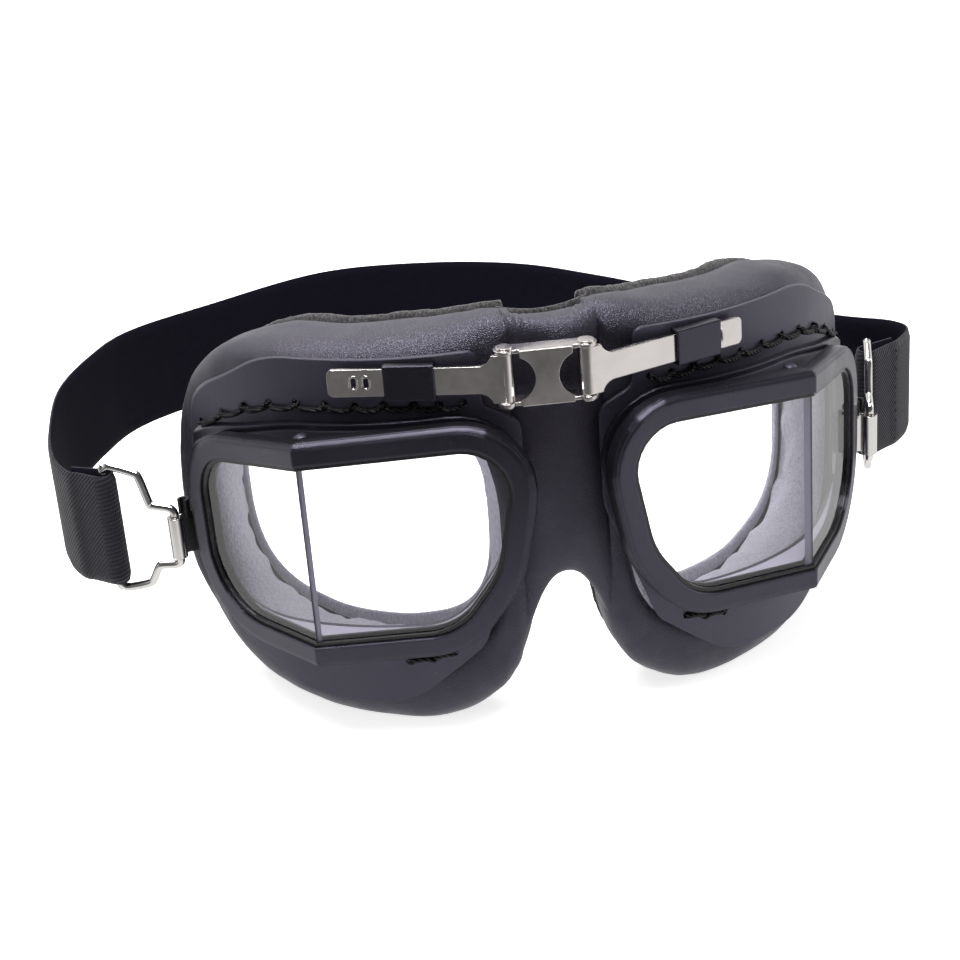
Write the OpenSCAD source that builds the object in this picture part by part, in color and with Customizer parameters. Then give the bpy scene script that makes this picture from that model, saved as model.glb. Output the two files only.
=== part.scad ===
// Aviator goggles: two metal eyepieces with folded two-pane glass, joined by a hinged
// sliding bridge, on a leather face pad, with an elastic head strap on wire loops.
// Millimetres. +Z is up, -Y is the lens side, +X is the right-hand side seen from the front.
// z = 0 is the surface that the pad's lower lobes stand on.

/* [Lens] */
// Distance of the fold between front and side pane from the middle plane
kink_x = 57.4; // [53.4:0.5:61.4]
// Height of the middle of the fold above the standing surface
lens_z = 48.5; // [47.5:0.5:50.5]
// Angle of the front pane away from straight ahead
front_sweep = 16; // [13:0.5:18]
// Angle of the side pane away from straight ahead
side_sweep = 57; // [54:0.5:60]
// Thickness of the glass
pane_t = 2.2; // [1.6:0.1:2.4]
// Clear gap between the two panes at the fold
pane_gap = 0.4; // [0.2:0.1:1]

/* [Rim and gasket] */
// Width of the rim's face around the glass
rim_w = 5.1; // [4.2:0.1:5.9]
// How far the rim's face stands in front of the glass
rim_front = 1.2; // [0.9:0.1:2.3]
// How far the rim reaches behind the front of the glass
rim_back = 2.9; // [2.8:0.1:3.4]
// How far the gasket shows inside the rim
gasket_lip = 1; // [0.6:0.1:1.6]
// Thickness of the gasket's walls
gasket_wall = 0.6; // [0.4:0.1:0.8]
// Radius that rounds the rim's front edge
rim_round = 1.5; // [0.8:0.1:2]

/* [Eyecup and base plate] */
// Radius of the base plate's curve round the face
plate_r = 77.5; // [77:0.5:79]
// Distance of that curve's centre from the middle plane
plate_cx = 7.6; // [7:0.2:8]
// Distance of that curve's centre behind the fold
plate_cy = 74.5; // [74.2:0.1:75]
// Thickness of the base plate
plate_t = 1; // [0.6:0.1:1.2]
// Thickness of the eyecup's wall
cup_t = 1.1; // [0.8:0.1:1.6]
// Distance of the eyecup's wall outside the rim's opening
cup_grow = 3; // [2.6:0.1:3.6]
// Width and height of the ledge round the eyecup's foot
ledge = 1.6; // [1:0.1:1.8]
// Radius and height of the dome stud on the eyecup
stud_r = 2.2; // [1.6:0.1:2.3]
// Diameter of the lace
lace_d = 1.3; // [0.9:0.1:1.6]

/* [Bridge] */
// Distance of the hinge pin from the middle of the right keeper
slide_right = 26.6; // [25:0.2:28]
// Distance of the hinge pin from the middle of the left keeper
slide_left = 20.3; // [19:0.2:22]
// Height of the arms' middle line above the fold's middle
arm_z = 38.4; // [38.2:0.1:38.8]
// Width of an arm
arm_w = 6.2; // [5.4:0.2:6.6]
// Thickness of an arm
arm_t = 1; // [0.8:0.1:1.2]
// Length of an arm from its pin to its tip
arm_l = 38; // [37:0.5:40]
// Radius of the hinge pins
pin_r = 1; // [0.8:0.1:1.1]
// Outer radius of an arm's rolled knuckle
knuckle_r = 1.9; // [1.7:0.05:2.2]
// Height of an arm's knuckle
knuckle_h = 10.8; // [9.6:0.2:11]
// Thickness of the link's sheet
link_t = 0.8; // [0.6:0.1:1]
// Running clearance round a pin
pin_gap = 0.05; // [0.02:0.01:0.08]
// Length of a keeper along its arm
keeper_l = 10.9; // [9:0.1:12]
// Wall of a keeper
keeper_t = 0.7; // [0.5:0.05:0.8]
// Clearance of an arm inside its keeper
keeper_gap = 0.15; // [0.1:0.05:0.25]

/* [Side hook and wire loop] */
// Distance of the hook's tube from the middle plane
hook_x = 84.5; // [84:0.25:86]
// Distance of the hook's tube behind the fold
hook_y = 36.3; // [36:0.1:37]
// Height of the tube's middle below the fold's middle
hook_drop = 7.2; // [6:0.2:9]
// Height of the hook's tube
hook_h = 10.3; // [9:0.1:11]
// Thickness of the hook's strip
hook_t = 0.8; // [0.6:0.05:0.9]
// Diameter of the loop's wire
wire_d = 2; // [1.8:0.05:2.1]
// Distance between the loop's two upright bars
loop_reach = 16.5; // [15.5:0.25:17.5]
// Height of the loop's outer bar
loop_h = 31.4; // [31:0.2:34]
// Height of the outer bar's middle above the tube's middle
loop_rise = 1.6; // [0:0.2:2]
// Direction of the left loop, measured back from straight out
loop_angle_left = 25; // [20:1:30]
// Direction of the right loop, measured back from straight out
loop_angle_right = 72; // [68:1:76]

/* [Pad] */
// Depth of the pad at the temple
pad_depth = 21; // [18:0.5:24]
// Depth of the pad beside the nose
pad_nose_depth = 13; // [11:0.5:16]
// Thickness of the felt lining
lining_t = 2; // [1.2:0.1:2.6]
// Width of the nose piece between the two pads
nose_w = 15; // [14:0.1:15.2]

/* [Strap] */
// Width of the elastic webbing
strap_w = 28; // [25:0.5:28]
// Thickness of the elastic webbing
strap_t = 1.5; // [1.2:0.1:1.6]

/* [Hidden] */
$fn = 64;

// Front-pane opening seen square on: [distance from the fold towards the nose, height, radius]
FRONT_OPENING = [
    [-8, -22.2, 0.2], [32.2, -19, 15], [42.5, -4.5, 22], [48.6, 26.5, 10.5], [-8, 21.8, 0.2]
];
// Side-pane opening seen square on: [distance from the fold towards the temple, height, radius]
SIDE_OPENING = [
    [-8, -21.1, 0.2], [35.5, -23, 16], [36, 15.5, 12], [-8, 23.9, 0.2]
];
// The whole opening seen from the front: [distance outwards from the fold, height, radius]
CUP_OUTLINE = [
    [-40.9, -4.5, 22], [-31, -19, 15], [0, -21.8, 60], [19.3, -23, 14], [19.6, 15.5, 12],
    [0, 22.5, 30], [-46.7, 26.5, 10.5]
];
// Base plate seen from the front: [distance from the middle plane, height, radius]
PLATE_OUTLINE = [
    [8.5, 27, 4], [8.5, 4, 14], [20, -27, 8], [38, -42, 20], [60, -42.5, 18], [77, -28, 14],
    [79.2, 0, 30], [76.6, 28, 16], [61, 41.5, 16], [17, 44, 2.2], [16.6, 31, 3]
];
// Outer edge of the pad on its front: [distance from the middle plane, height]
PAD_OUTER = [
    [8, 12], [8, -8], [8.2, -23], [12.3, -35.5], [20, -44], [31, -48.8], [44, -49.2], [59, -48],
    [74, -41.5], [82.5, -25], [84.2, -3], [81.5, 19], [73.5, 36], [61, 42.6], [46, 43.8],
    [28, 46], [11, 48.8], [7.9, 44]
];
// Eye hole of the pad: middle, half width and half height
EYE_X = 44.5;
EYE_Z = -1.5;
EYE_A = 29;
EYE_B = 29.5;
PAD_STATIONS = 42;
PAD_SIDES = 14;
PAD_GAP = 0.3;
// Share of the plate's radius at which the pad stops following its curve
PAD_WRAP = 0.93;
// Share of the plate's turn that the pad's depth follows, at the eye hole and at the outer edge
LEAN_INNER = 0.45;
LEAN_OUTER = 0.75;
// Depth of the pad at the nose grows, and at the temple falls: [distance from the middle plane, over, by]
DEPTH_RISE = [8, 26];
DEPTH_FALL = [58, 22, 6];
// Front and back of the nose piece behind the plate's front, and its lower and upper ends
NOSE_FRONT = 0.1;
NOSE_BACK = 12;
NOSE_TOP = 47.3;
NOSE_LOW = -13;
// Holes of the lacing, seen from the front, from the nose round to the temple, then below
LACE_TOP = [
    [20.5, 32.4], [25.5, 32.2], [31, 32.6], [37, 32.5], [43, 32], [49, 31.8], [55, 31.4],
    [60.5, 30.4], [65.5, 28.4], [70.6, 25.2], [75.2, 20.7]
];
LACE_LOW = [[27, -28.3], [32, -29.8], [37, -30.6]];

// Direction in which each strap end leaves its wire loop
LEFT_AWAY = 145;
RIGHT_AWAY = 24;
// Strap route between its end folds, seen from above: [x, y, rise of the strap's middle]
strap_z = lens_z - hook_drop + loop_rise;
STRAP_ROUTE = [
    [-110.8, 57, 0.3], [-111.3, 73, 1.4], [-108.6, 93, 3], [-100.5, 113, 3.2], [-90, 133, 1.4],
    [-68, 152.5, -1.2], [-34, 169, -1.7], [-4, 168.5, -2.6], [22, 157, -2.6], [41, 138, -2.4],
    [60, 114, -2], [77, 94, -1.5], [93, 78, -1], [102.2, 69.6, -0.5], [104.2, 62.4, -0.2]
];
// Webbing beside its bar, on the head's side and outside: [distance from the bar, and from its middle]
FOLD_TAIL = [[9.5, 1.05], [5.5, 1.5]];
FOLD_OUT = [[5.5, 1.5], [9.5, 0.95]];
// Wire beside the tube: [out from the tube, beyond the tube's end]
WIRE_NEAR = [[0, -0.6], [0, 0.9], [0.4, 1.7], [1.4, 2.2], [4.8, 2.6], [5.9, 3.2]];
// Wire beside the outer bar: [inwards from the bar, inwards from its end]
WIRE_FAR = [[8.9, 2.6], [7.5, 1.3], [2.4, 0], [1, 0.3], [0.2, 1.1], [0, 2.2]];

lens_y = 0;
kink = [kink_x, lens_y, lens_z];
pane_edge = gasket_lip * 0.9;
gasket_seat = 0.4;
gasket_out = pane_edge + gasket_wall + gasket_seat;
mitre = (front_sweep + side_sweep) / 2;
hook_bore_r = wire_d / 2 + pin_gap;
hook_tube_r = hook_bore_r + hook_t;
hook_z = lens_z - hook_drop;
big = 200;

// The plate keeps its clearance behind the side leaf's face, whatever its radius
plate_clear = 4.841;
plate_fit = (kink_x - plate_cx) * sin(side_sweep) + plate_cy * cos(side_sweep) - plate_clear;
plate_back = (plate_r - plate_fit) / cos((side_sweep - front_sweep) / 2);
plate_mid = [plate_cx - plate_back * sin(mitre), plate_cy + plate_back * cos(mitre)];

// Where the strap and the rims put the whole object's middle
nose_corner = 2.2;
front_reach = (FRONT_OPENING[3][0] - nose_corner + rim_w) * sin(front_sweep)
    + rim_front * cos(front_sweep);
rear_reach = max([for (p = STRAP_ROUTE) p[1]]) + strap_t / 2;
route_x = [for (p = STRAP_ROUTE) p[0]];
middle_x = (min(route_x) + max(route_x)) / 2;
middle_y = (rear_reach - front_reach) / 2;

function unit(v) = v / norm(v);
function mix(a, b, t) = a + (b - a) * t;
function cross2(a, b) = a[0] * b[1] - a[1] * b[0];

// Round one corner of an outline
function corner(p, c, n, steps = 8) =
    let (
        a = unit([p[0] - c[0], p[1] - c[1]]),
        b = unit([n[0] - c[0], n[1] - c[1]]),
        half = acos(max(-1, min(1, a * b))) / 2,
        r = c[2],
        middle = [c[0], c[1]] + unit(a + b) * r / sin(half),
        from = [c[0], c[1]] + a * r / tan(half) - middle,
        turn = (180 - 2 * half) * (cross2(-a, b) > 0 ? 1 : -1)
    )
    [for (i = [0:steps]) let (t = turn * i / steps)
        middle + [from[0] * cos(t) - from[1] * sin(t), from[0] * sin(t) + from[1] * cos(t)]];

function rounded(pts) =
    let (n = len(pts))
    [for (i = [0:n - 1]) each corner(pts[(i + n - 1) % n], pts[i], pts[(i + 1) % n])];

// Move every side of an outline outwards by d
function grown(pts, d) =
    let (n = len(pts))
    [for (i = [0:n - 1])
        let (
            c = pts[i],
            p = pts[(i + n - 1) % n],
            q = pts[(i + 1) % n],
            e = unit([c[0] - p[0], c[1] - p[1]]),
            f = unit([q[0] - c[0], q[1] - c[1]]),
            m = [e[1], -e[0]] + [f[1], -f[0]],
            s = cross2(e, f) > 0 ? 1 : -1
        )
        [c[0] + m[0] * d / (m * m / 2), c[1] + m[1] * d / (m * m / 2), max(0.2, c[2] + s * d)]];

// Smooth curve through points
function curve_point(a, b, c, d, t) =
    0.5 * ((2 * b) + (c - a) * t + (2 * a - 5 * b + 4 * c - d) * t * t + (3 * b - a - 3 * c + d) * t * t * t);
function loop_curve(pts, count) =
    let (n = len(pts))
    [for (k = [0:count - 1])
        let (u = k * n / count, i = floor(u))
        curve_point(pts[(i + n - 1) % n], pts[i % n], pts[(i + 1) % n], pts[(i + 2) % n], u - i)];
function open_curve(pts, per_span) =
    let (n = len(pts))
    [for (i = [0:n - 2]) for (k = [0:per_span - 1])
        curve_point(pts[max(0, i - 1)], pts[i], pts[i + 1], pts[min(n - 1, i + 2)], k / per_span),
     pts[n - 1]];

// Point on the base plate's front at x from the middle plane, raised by h towards the front
function plate_angle(x) = asin((x - plate_mid[0]) / plate_r);
function on_plate(x, z, h = 0) =
    let (a = plate_angle(x))
    [plate_mid[0] + (plate_r + h) * sin(a), plate_mid[1] - (plate_r + h) * cos(a), lens_z + z];

// The eyecup's outline from the front, moved outwards by d
function cup_outline(d) = [for (p = grown(CUP_OUTLINE, d)) [p[0] + kink_x, p[1], p[2]]];

module right_or_left(side) {
    mirror([side < 0 ? 1 : 0, 0, 0]) children();
}

module placed() {
    translate([-middle_x, -middle_y, 0]) children();
}

// Front or side leaf of the folded lens, grown by d, between two depths from the glass's face
module leaf(front, d, from, to) {
    translate(kink)
        rotate([0, 0, front ? front_sweep : side_sweep])
        mirror([front ? 1 : 0, 0, 0])
        rotate([90, 0, 0])
        translate([0, 0, from])
        linear_extrude(to - from)
        polygon(rounded(grown(front ? FRONT_OPENING : SIDE_OPENING, d)));
}

// Everything on one side of the fold's mitre plane, short of it by a gap
module mitre_half(front, gap = 0) {
    translate([kink_x, lens_y, 0])
        rotate([0, 0, mitre])
        translate([front ? -big - gap : gap, -big / 2, -big / 2])
        cube([big, big, 2 * big]);
}

module folded(d, from, to) {
    for (front = [true, false]) {
        intersection() {
            leaf(front, d, from, to);
            mitre_half(front);
        }
    }
}

// Everything in front of a plane that lies a depth behind the glass's face
module ahead_of(depth) {
    for (turn = [front_sweep, side_sweep]) {
        translate([kink_x, lens_y, 0])
            rotate([0, 0, turn])
            translate([-big / 2, -big + depth, -big / 2])
            cube([big, big, 2 * big]);
    }
}

module upright_prism(outline) {
    translate([0, 0, lens_z])
        rotate([90, 0, 0])
        linear_extrude(big, center = true)
        polygon(rounded(outline));
}

module behind_plate(h = 0) {
    translate([plate_mid[0], plate_mid[1], -big / 4])
        cylinder(r = plate_r + h, h = big, $fn = 180);
}

module lens_rim(side) {
    color([0.07, 0.07, 0.075])
    right_or_left(side)
    difference() {
        union() {
            folded(rim_w, -rim_back, rim_front - rim_round);
            for (i = [1:3]) {
                a = i * 30;
                b = (i - 1) * 30;
                folded(rim_w - rim_round * (1 - cos(b + 15)),
                    rim_front - rim_round * (1 - sin(b)) - 0.01,
                    rim_front - rim_round * (1 - sin(a)));
            }
        }
        folded(gasket_out, -rim_back - 1, gasket_wall);
        folded(0, gasket_wall - 0.1, rim_front + 1);
    }
}

module lens_gasket(side) {
    color([0.03, 0.03, 0.03])
    right_or_left(side)
    difference() {
        folded(gasket_out, -pane_t - gasket_wall, gasket_wall);
        folded(-gasket_lip, -rim_back - 1, rim_front);
        folded(pane_edge, -pane_t, 0);
    }
}

module pane(side, front) {
    color([0.85, 0.88, 0.92, 0.35])
    right_or_left(side)
    intersection() {
        leaf(front, pane_edge, -pane_t, 0);
        mitre_half(front, pane_gap / 2);
    }
}

// How far the eyecup's wall runs behind the hook's tube
cup_past_hook = 1.2;
module eyecup(side) {
    color([0.05, 0.05, 0.055])
    right_or_left(side)
    difference() {
        union() {
            upright_prism(cup_outline(cup_grow));
            intersection() {
                upright_prism(cup_outline(cup_grow + ledge));
                behind_plate(ledge);
            }
        }
        upright_prism(cup_outline(cup_grow - cup_t));
        ahead_of(rim_back);
        behind_plate();
        translate([-big, hook_y + cup_past_hook, -big]) cube(2 * big);
    }
}

// Dome stud on top of the eyecup: how far it sits inwards and behind the fold, and above its middle
stud_in = 2.4;
stud_y = 7.7;
stud_z = 21.3;
module cup_stud(side) {
    color([0.06, 0.06, 0.065])
    right_or_left(side)
    difference() {
        translate([kink_x - stud_in, stud_y, lens_z + stud_z + cup_grow]) sphere(r = stud_r);
        upright_prism(cup_outline(cup_grow));
    }
}

// Room round the lace in its holes
lace_room = 0.3;
// The plate's opening stops short of the hook's strip, which is fixed to the band left at the temple
band_in = 1;
module base_plate(side) {
    color([0.09, 0.09, 0.095])
    right_or_left(side)
    difference() {
        intersection() {
            upright_prism(PLATE_OUTLINE);
            behind_plate();
            translate([-big / 4, -big + plate_mid[1], -big / 4]) cube([big, big, big]);
        }
        behind_plate(-plate_t);
        intersection() {
            upright_prism(cup_outline(cup_grow - cup_t));
            translate([hook_x - strip_l - band_in - big, -big, -big / 2]) cube([big, 2 * big, 2 * big]);
        }
        for (p = concat(LACE_TOP, LACE_LOW)) {
            through_plate(p) cylinder(d = lace_d + lace_room, h = 4 * plate_t, center = true);
        }
    }
}

// Square through the base plate, with +z leading out of its front
module through_plate(p) {
    translate([plate_mid[0], plate_mid[1], lens_z + p[1]])
        rotate([0, 0, plate_angle(p[0])])
        translate([0, -plate_r, 0])
        rotate([90, 0, 0])
        children();
}

// Round cord along points, each with a direction that is square to the path there
module cord(pts, squares, r, sides, closed = false) {
    n = len(pts);
    rings = [for (i = [0:n - 1])
        let (
            t = unit(pts[min(n - 1, i + 1)] - pts[max(0, i - 1)]),
            q = unit(squares[i] - t * (squares[i] * t)),
            w = cross(t, q)
        )
        for (j = [0:sides - 1])
        let (a = -360 * j / sides)
        pts[i] + r * (cos(a) * q + sin(a) * w)];
    polyhedron(rings, skin_faces(n, sides, closed), convexity = 6);
}

module lacing(side) {
    lace_lift = 0.08;
    lift = lace_d / 2 + lace_lift;
    color([0.03, 0.03, 0.03])
    right_or_left(side) {
        for (row = [LACE_TOP, LACE_LOW]) {
            cord([for (p = row) on_plate(p[0], p[1], lift)],
                [for (p = row) on_plate(p[0], p[1], lift) - on_plate(p[0], p[1], 0)],
                lace_d / 2, 8);
        }
        for (p = concat(LACE_TOP, LACE_LOW)) {
            through_plate(p) translate([0, 0, -plate_t]) cylinder(d = lace_d, h = plate_t + lift, $fn = 8);
        }
    }
}

// Frame of an arm: x along it away from the nose, -y away from the plate
keeper_x = 31;
keeper_foot = 0.6;
keeper_a = plate_angle(keeper_x);
arm_y = -keeper_t - keeper_gap - arm_t / 2;
pin_y = arm_y - arm_t / 2 + knuckle_r;
module arm_frame(side) {
    right_or_left(side)
        translate(on_plate(keeper_x, arm_z))
        rotate([0, 0, keeper_a])
        children();
}
function pin_place(side) =
    let (s = side > 0 ? slide_right : slide_left, k = on_plate(keeper_x, arm_z))
    [side * (k[0] - s * cos(keeper_a) - pin_y * sin(keeper_a)),
     k[1] - s * sin(keeper_a) + pin_y * cos(keeper_a), k[2]];
pin_right = pin_place(1);
pin_left = pin_place(-1);
link_span = pin_right - pin_left;
link_pitch = norm(link_span);
link_turn = atan2(link_span[1], link_span[0]);
link_gap = 0.1;
link_h = knuckle_h + 2 * (link_t + link_gap);
head_h = 0.5;
head_r = pin_r + 0.8;

module arm_keeper(side) {
    inner_h = arm_w + 2 * keeper_gap;
    inner_t = arm_t + 2 * keeper_gap;
    color([0.06, 0.06, 0.065])
    difference() {
        arm_frame(side)
            translate([-keeper_l / 2, arm_y - inner_t / 2 - keeper_t, -inner_h / 2 - keeper_t])
            cube([keeper_l, inner_t + 2 * keeper_t + keeper_foot, inner_h + 2 * keeper_t]);
        arm_frame(side)
            translate([-keeper_l, arm_y - inner_t / 2, -inner_h / 2])
            cube([2 * keeper_l, inner_t, inner_h]);
        right_or_left(side) behind_plate();
    }
}

// Face of an arm with x = 0 at its pin: a strip that spreads to the knuckle
module arm_face() {
    spread = 3;
    spread_x = 5.2;
    spread_gap = 0.3;
    tip_r = 1.2;
    slot_w = 1.1;
    slot_l = 1.2;
    slot_pitch = 2.7;
    slot_from_tip = 8.4;
    difference() {
        union() {
            translate([0, -knuckle_h / 2]) square([spread_x, knuckle_h]);
            translate([0, -arm_w / 2]) square([arm_l - tip_r, arm_w]);
            translate([0, -arm_w / 2 + tip_r]) square([arm_l, arm_w - 2 * tip_r]);
            for (e = [-1, 1]) {
                translate([arm_l - tip_r, e * (arm_w / 2 - tip_r)]) circle(r = tip_r);
            }
        }
        for (e = [-1, 1]) {
            translate([spread_x + spread_gap, e * (arm_w / 2 + spread + 0.02)]) circle(r = spread);
        }
        for (e = [0, 1]) {
            translate([arm_l - slot_from_tip + e * slot_pitch, 0]) {
                square([slot_w, slot_l], center = true);
                for (f = [-1, 1]) {
                    translate([0, f * slot_l / 2]) circle(d = slot_w);
                }
            }
        }
    }
}

module bridge_arm(side) {
    s = side > 0 ? slide_right : slide_left;
    color([0.78, 0.76, 0.74])
    difference() {
        union() {
            arm_frame(side)
                translate([-s, arm_y + arm_t / 2, 0])
                rotate([90, 0, 0])
                linear_extrude(arm_t)
                arm_face();
            translate(pin_place(side))
                cylinder(r = knuckle_r, h = knuckle_h, center = true);
        }
        translate(pin_place(side))
            cylinder(r = pin_r + pin_gap, h = 2 * knuckle_h, center = true);
    }
}

module hinge_pin(side) {
    color([0.8, 0.78, 0.76])
    translate(pin_place(side)) {
        cylinder(r = pin_r, h = link_h + 2 * head_h, center = true);
        for (e = [-1, 1]) {
            translate([0, 0, e * (link_h / 2 + head_h / 2)])
                cylinder(r = head_r, h = head_h, center = true);
        }
    }
}

module bridge_link() {
    ear_r = knuckle_r + 0.4;
    web_gap = 1.2;
    web_w = link_pitch - 2 * (knuckle_r + web_gap);
    web_y = -ear_r;
    waist_w = 5;
    notch_r = 5.2;
    color([0.82, 0.8, 0.78])
    translate((pin_left + pin_right) / 2)
    rotate([0, 0, link_turn])
    difference() {
        union() {
            for (e = [-1, 1]) {
                translate([0, 0, e * (link_h / 2 - link_t / 2)]) {
                    translate([-link_pitch / 2, web_y + link_t, -link_t / 2])
                        cube([link_pitch, 2 * ear_r - link_t, link_t]);
                    for (f = [-1, 1]) {
                        translate([f * link_pitch / 2, 0, 0])
                            cylinder(r = ear_r, h = link_t, center = true);
                    }
                    translate([-web_w / 2, web_y, -link_t / 2])
                        cube([web_w, ear_r, link_t]);
                }
            }
            translate([-web_w / 2, web_y, -link_h / 2]) cube([web_w, link_t, link_h]);
        }
        for (f = [-1, 1]) {
            translate([f * (waist_w / 2 + notch_r), web_y, 0])
                rotate([90, 0, 0])
                cylinder(r = notch_r, h = 3 * link_t, center = true);
            translate([f * link_pitch / 2, 0, 0])
                cylinder(r = pin_r, h = 2 * link_h, center = true);
        }
    }
}

// Length of the hook's strip, and where its inner end lies
strip_l = 9;
strip_back = 1.3;
strip_y = hook_y + hook_tube_r + strip_back;
module side_hook(side) {
    color([0.66, 0.64, 0.62])
    right_or_left(side)
    difference() {
        union() {
            translate([hook_x, hook_y, hook_z])
                cylinder(r = hook_tube_r, h = hook_h, center = true);
            translate([0, 0, hook_z - hook_h / 2])
                linear_extrude(hook_h)
                polygon([
                    [hook_x - strip_l, strip_y], [hook_x, hook_y + hook_tube_r - hook_t],
                    [hook_x, hook_y + hook_tube_r], [hook_x - strip_l, strip_y + hook_t]
                ]);
            hook_lip();
        }
        translate([hook_x, hook_y, hook_z])
            cylinder(r = hook_bore_r, h = 2 * hook_h, center = true);
        behind_plate();
    }
}

// Curled end of the strip above the tube
module hook_lip() {
    lip_r = 1.4;
    lip_wall = 0.56;
    lip_up = 3.9;
    lip_in = 2.5;
    lip_back = 0.5;
    root = 0.6;
    opening = 0.2;
    translate([hook_x - lip_in, hook_y + hook_tube_r - lip_r + lip_back, hook_z + hook_h / 2])
    difference() {
        translate([0, 0, -root]) cylinder(r = lip_r, h = root + lip_up);
        translate([0, 0, -2 * root]) cylinder(r = lip_r - lip_wall, h = lip_up + 4 * root);
        translate([-opening, -2 * lip_r, -2 * root]) cube([2 * lip_r, 2 * lip_r, lip_up + 4 * root]);
    }
}

// Upper (e = 1) or lower (e = -1) half of the wire's path: [out from the tube, height]
function wire_half(e) = concat(
    [for (p = WIRE_NEAR) [p[0], e * (hook_h / 2 + p[1])]],
    [for (p = WIRE_FAR) [loop_reach - p[0], loop_rise + e * (loop_h / 2 - p[1])]]);

module wire_loop(side) {
    a = side > 0 ? loop_angle_right : loop_angle_left;
    r = wire_d / 2;
    path = [for (p = concat(wire_half(1), reversed(wire_half(-1)))) [p[0], 0, p[1]]];
    color([0.8, 0.79, 0.78])
    right_or_left(side)
    translate([hook_x, hook_y, hook_z])
    rotate([0, 0, a]) {
        cylinder(r = r, h = hook_h - 2 * WIRE_NEAR[0][1] - 0.4, center = true);
        cord(path, [for (p = path) [0, 1, 0]], r - 0.02, 12);
    }
}

// Closed skin round a loop or a line of rings, all with as many points
function skin_faces(rings, sides, closed) = concat(
    [for (i = [0:rings - (closed ? 1 : 2)]) for (j = [0:sides - 1])
        let (
            a = i * sides + j,
            b = i * sides + (j + 1) % sides,
            c = ((i + 1) % rings) * sides + (j + 1) % sides,
            d = ((i + 1) % rings) * sides + j
        )
        each [[a, b, c], [a, c, d]]],
    closed ? [] : [
        for (j = [1:sides - 2]) [0, j + 1, j],
        for (j = [1:sides - 2]) let (z = (rings - 1) * sides) [z, z + j, z + j + 1]
    ]);

function bulge(v, power) = (v < 0 ? -1 : 1) * pow(abs(v), 2 / power);
function ease(t) = let (c = max(0, min(1, t))) c * c * (3 - 2 * c);

// Pad depth grows from the nose to the temple
function depth_at(x) = mix(pad_nose_depth, pad_depth, ease((x - DEPTH_RISE[0]) / DEPTH_RISE[1]))
    - DEPTH_FALL[2] * ease((x - DEPTH_FALL[0]) / DEPTH_FALL[1]);

// A point of the pad: front-view place, depth behind the plate, and share from eye hole to outer edge
function pad_point(x, z, d, across) =
    let (
        r = plate_r - plate_t - PAD_GAP,
        a = asin(min(PAD_WRAP, (x - plate_mid[0]) / r)),
        beyond = max(0, x - plate_mid[0] - PAD_WRAP * r),
        lean = a * mix(LEAN_INNER, LEAN_OUTER, across)
    )
    [plate_mid[0] + r * sin(a) + beyond - d * sin(lean),
     plate_mid[1] - r * cos(a) + beyond / 2 + d * cos(lean), lens_z + z];

// Ring round an eye, filled between two depths
module pad_ring(inset, from, thickness, power) {
    outer = loop_curve(PAD_OUTER, PAD_STATIONS);
    middle = [EYE_X, EYE_Z];
    points = [for (o = outer)
        let (
            v = o - middle,
            f = 1 / pow(pow(abs(v[0]) / EYE_A, 3) + pow(abs(v[1]) / EYE_B, 3), 1 / 3),
            inner = middle + v * f
        )
        for (j = [0:PAD_SIDES - 1])
        let (
            t = 360 * (j + 0.5) / PAD_SIDES,
            across = 0.5 + 0.5 * bulge(cos(t), power),
            deep = 0.5 + 0.5 * bulge(sin(t), power),
            p = mix(mix(inner, o, inset), mix(o, inner, inset), across),
            d = depth_at(p[0]) * from + thickness * (from > 0 ? deep : deep * depth_at(p[0])),
            q = pad_point(p[0], p[1], d + (from > 0 ? PAD_GAP : 0), mix(inset, 1 - inset, across))
        )
        [q[0], q[1], max(0, q[2])]];
    polyhedron(points, skin_faces(PAD_STATIONS, PAD_SIDES, true), convexity = 6);
}

module face_pad(side) {
    color([0.11, 0.11, 0.115])
    right_or_left(side)
    pad_ring(0, 0, 1, 3);
}

module pad_lining(side) {
    color([0.16, 0.16, 0.17])
    right_or_left(side)
    pad_ring(0.14, 1, lining_t, 4);
}

// Saddle between the two pads, narrowing to the notch for the nose
nose_y = plate_mid[1] - plate_r;
module nose_form(front, back, width, low, high) {
    rings = 14;
    sides = 16;
    points = [for (i = [0:rings - 1])
        let (
            u = -cos(180 * i / (rings - 1)),
            end = pow(max(0.08, 1 - pow(abs(u), 10)), 0.4),
            z = mix(low, high, 0.5 + 0.5 * u)
        )
        for (j = [0:sides - 1])
        let (t = 360 * (j + 0.5) / sides)
        [width / 2 * end * bulge(cos(t), 4),
         nose_y + mix(front, back, 0.5) + (back - front) / 2 * end * bulge(sin(t), 3),
         lens_z + z]];
    polyhedron(points, skin_faces(rings, sides, false), convexity = 4);
}

module nose_pad() {
    color([0.11, 0.11, 0.115])
    nose_form(NOSE_FRONT, NOSE_BACK, nose_w, NOSE_LOW, NOSE_TOP);
}

module nose_lining() {
    inset = 0.75;
    color([0.16, 0.16, 0.17])
    nose_form(NOSE_BACK + PAD_GAP, NOSE_BACK + PAD_GAP + lining_t, nose_w - 2 * inset,
        NOSE_LOW + inset, NOSE_TOP - inset);
}

// Outer bar of a wire loop, seen from above
function bar_place(side) =
    let (a = side > 0 ? loop_angle_right : loop_angle_left)
    [side * (hook_x + loop_reach * cos(a)), hook_y + loop_reach * sin(a)];

fold_gap = 0.45;
fold_r = wire_d / 2 + strap_t / 2 + fold_gap;
bar_left = bar_place(-1);
bar_right = bar_place(1);

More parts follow.
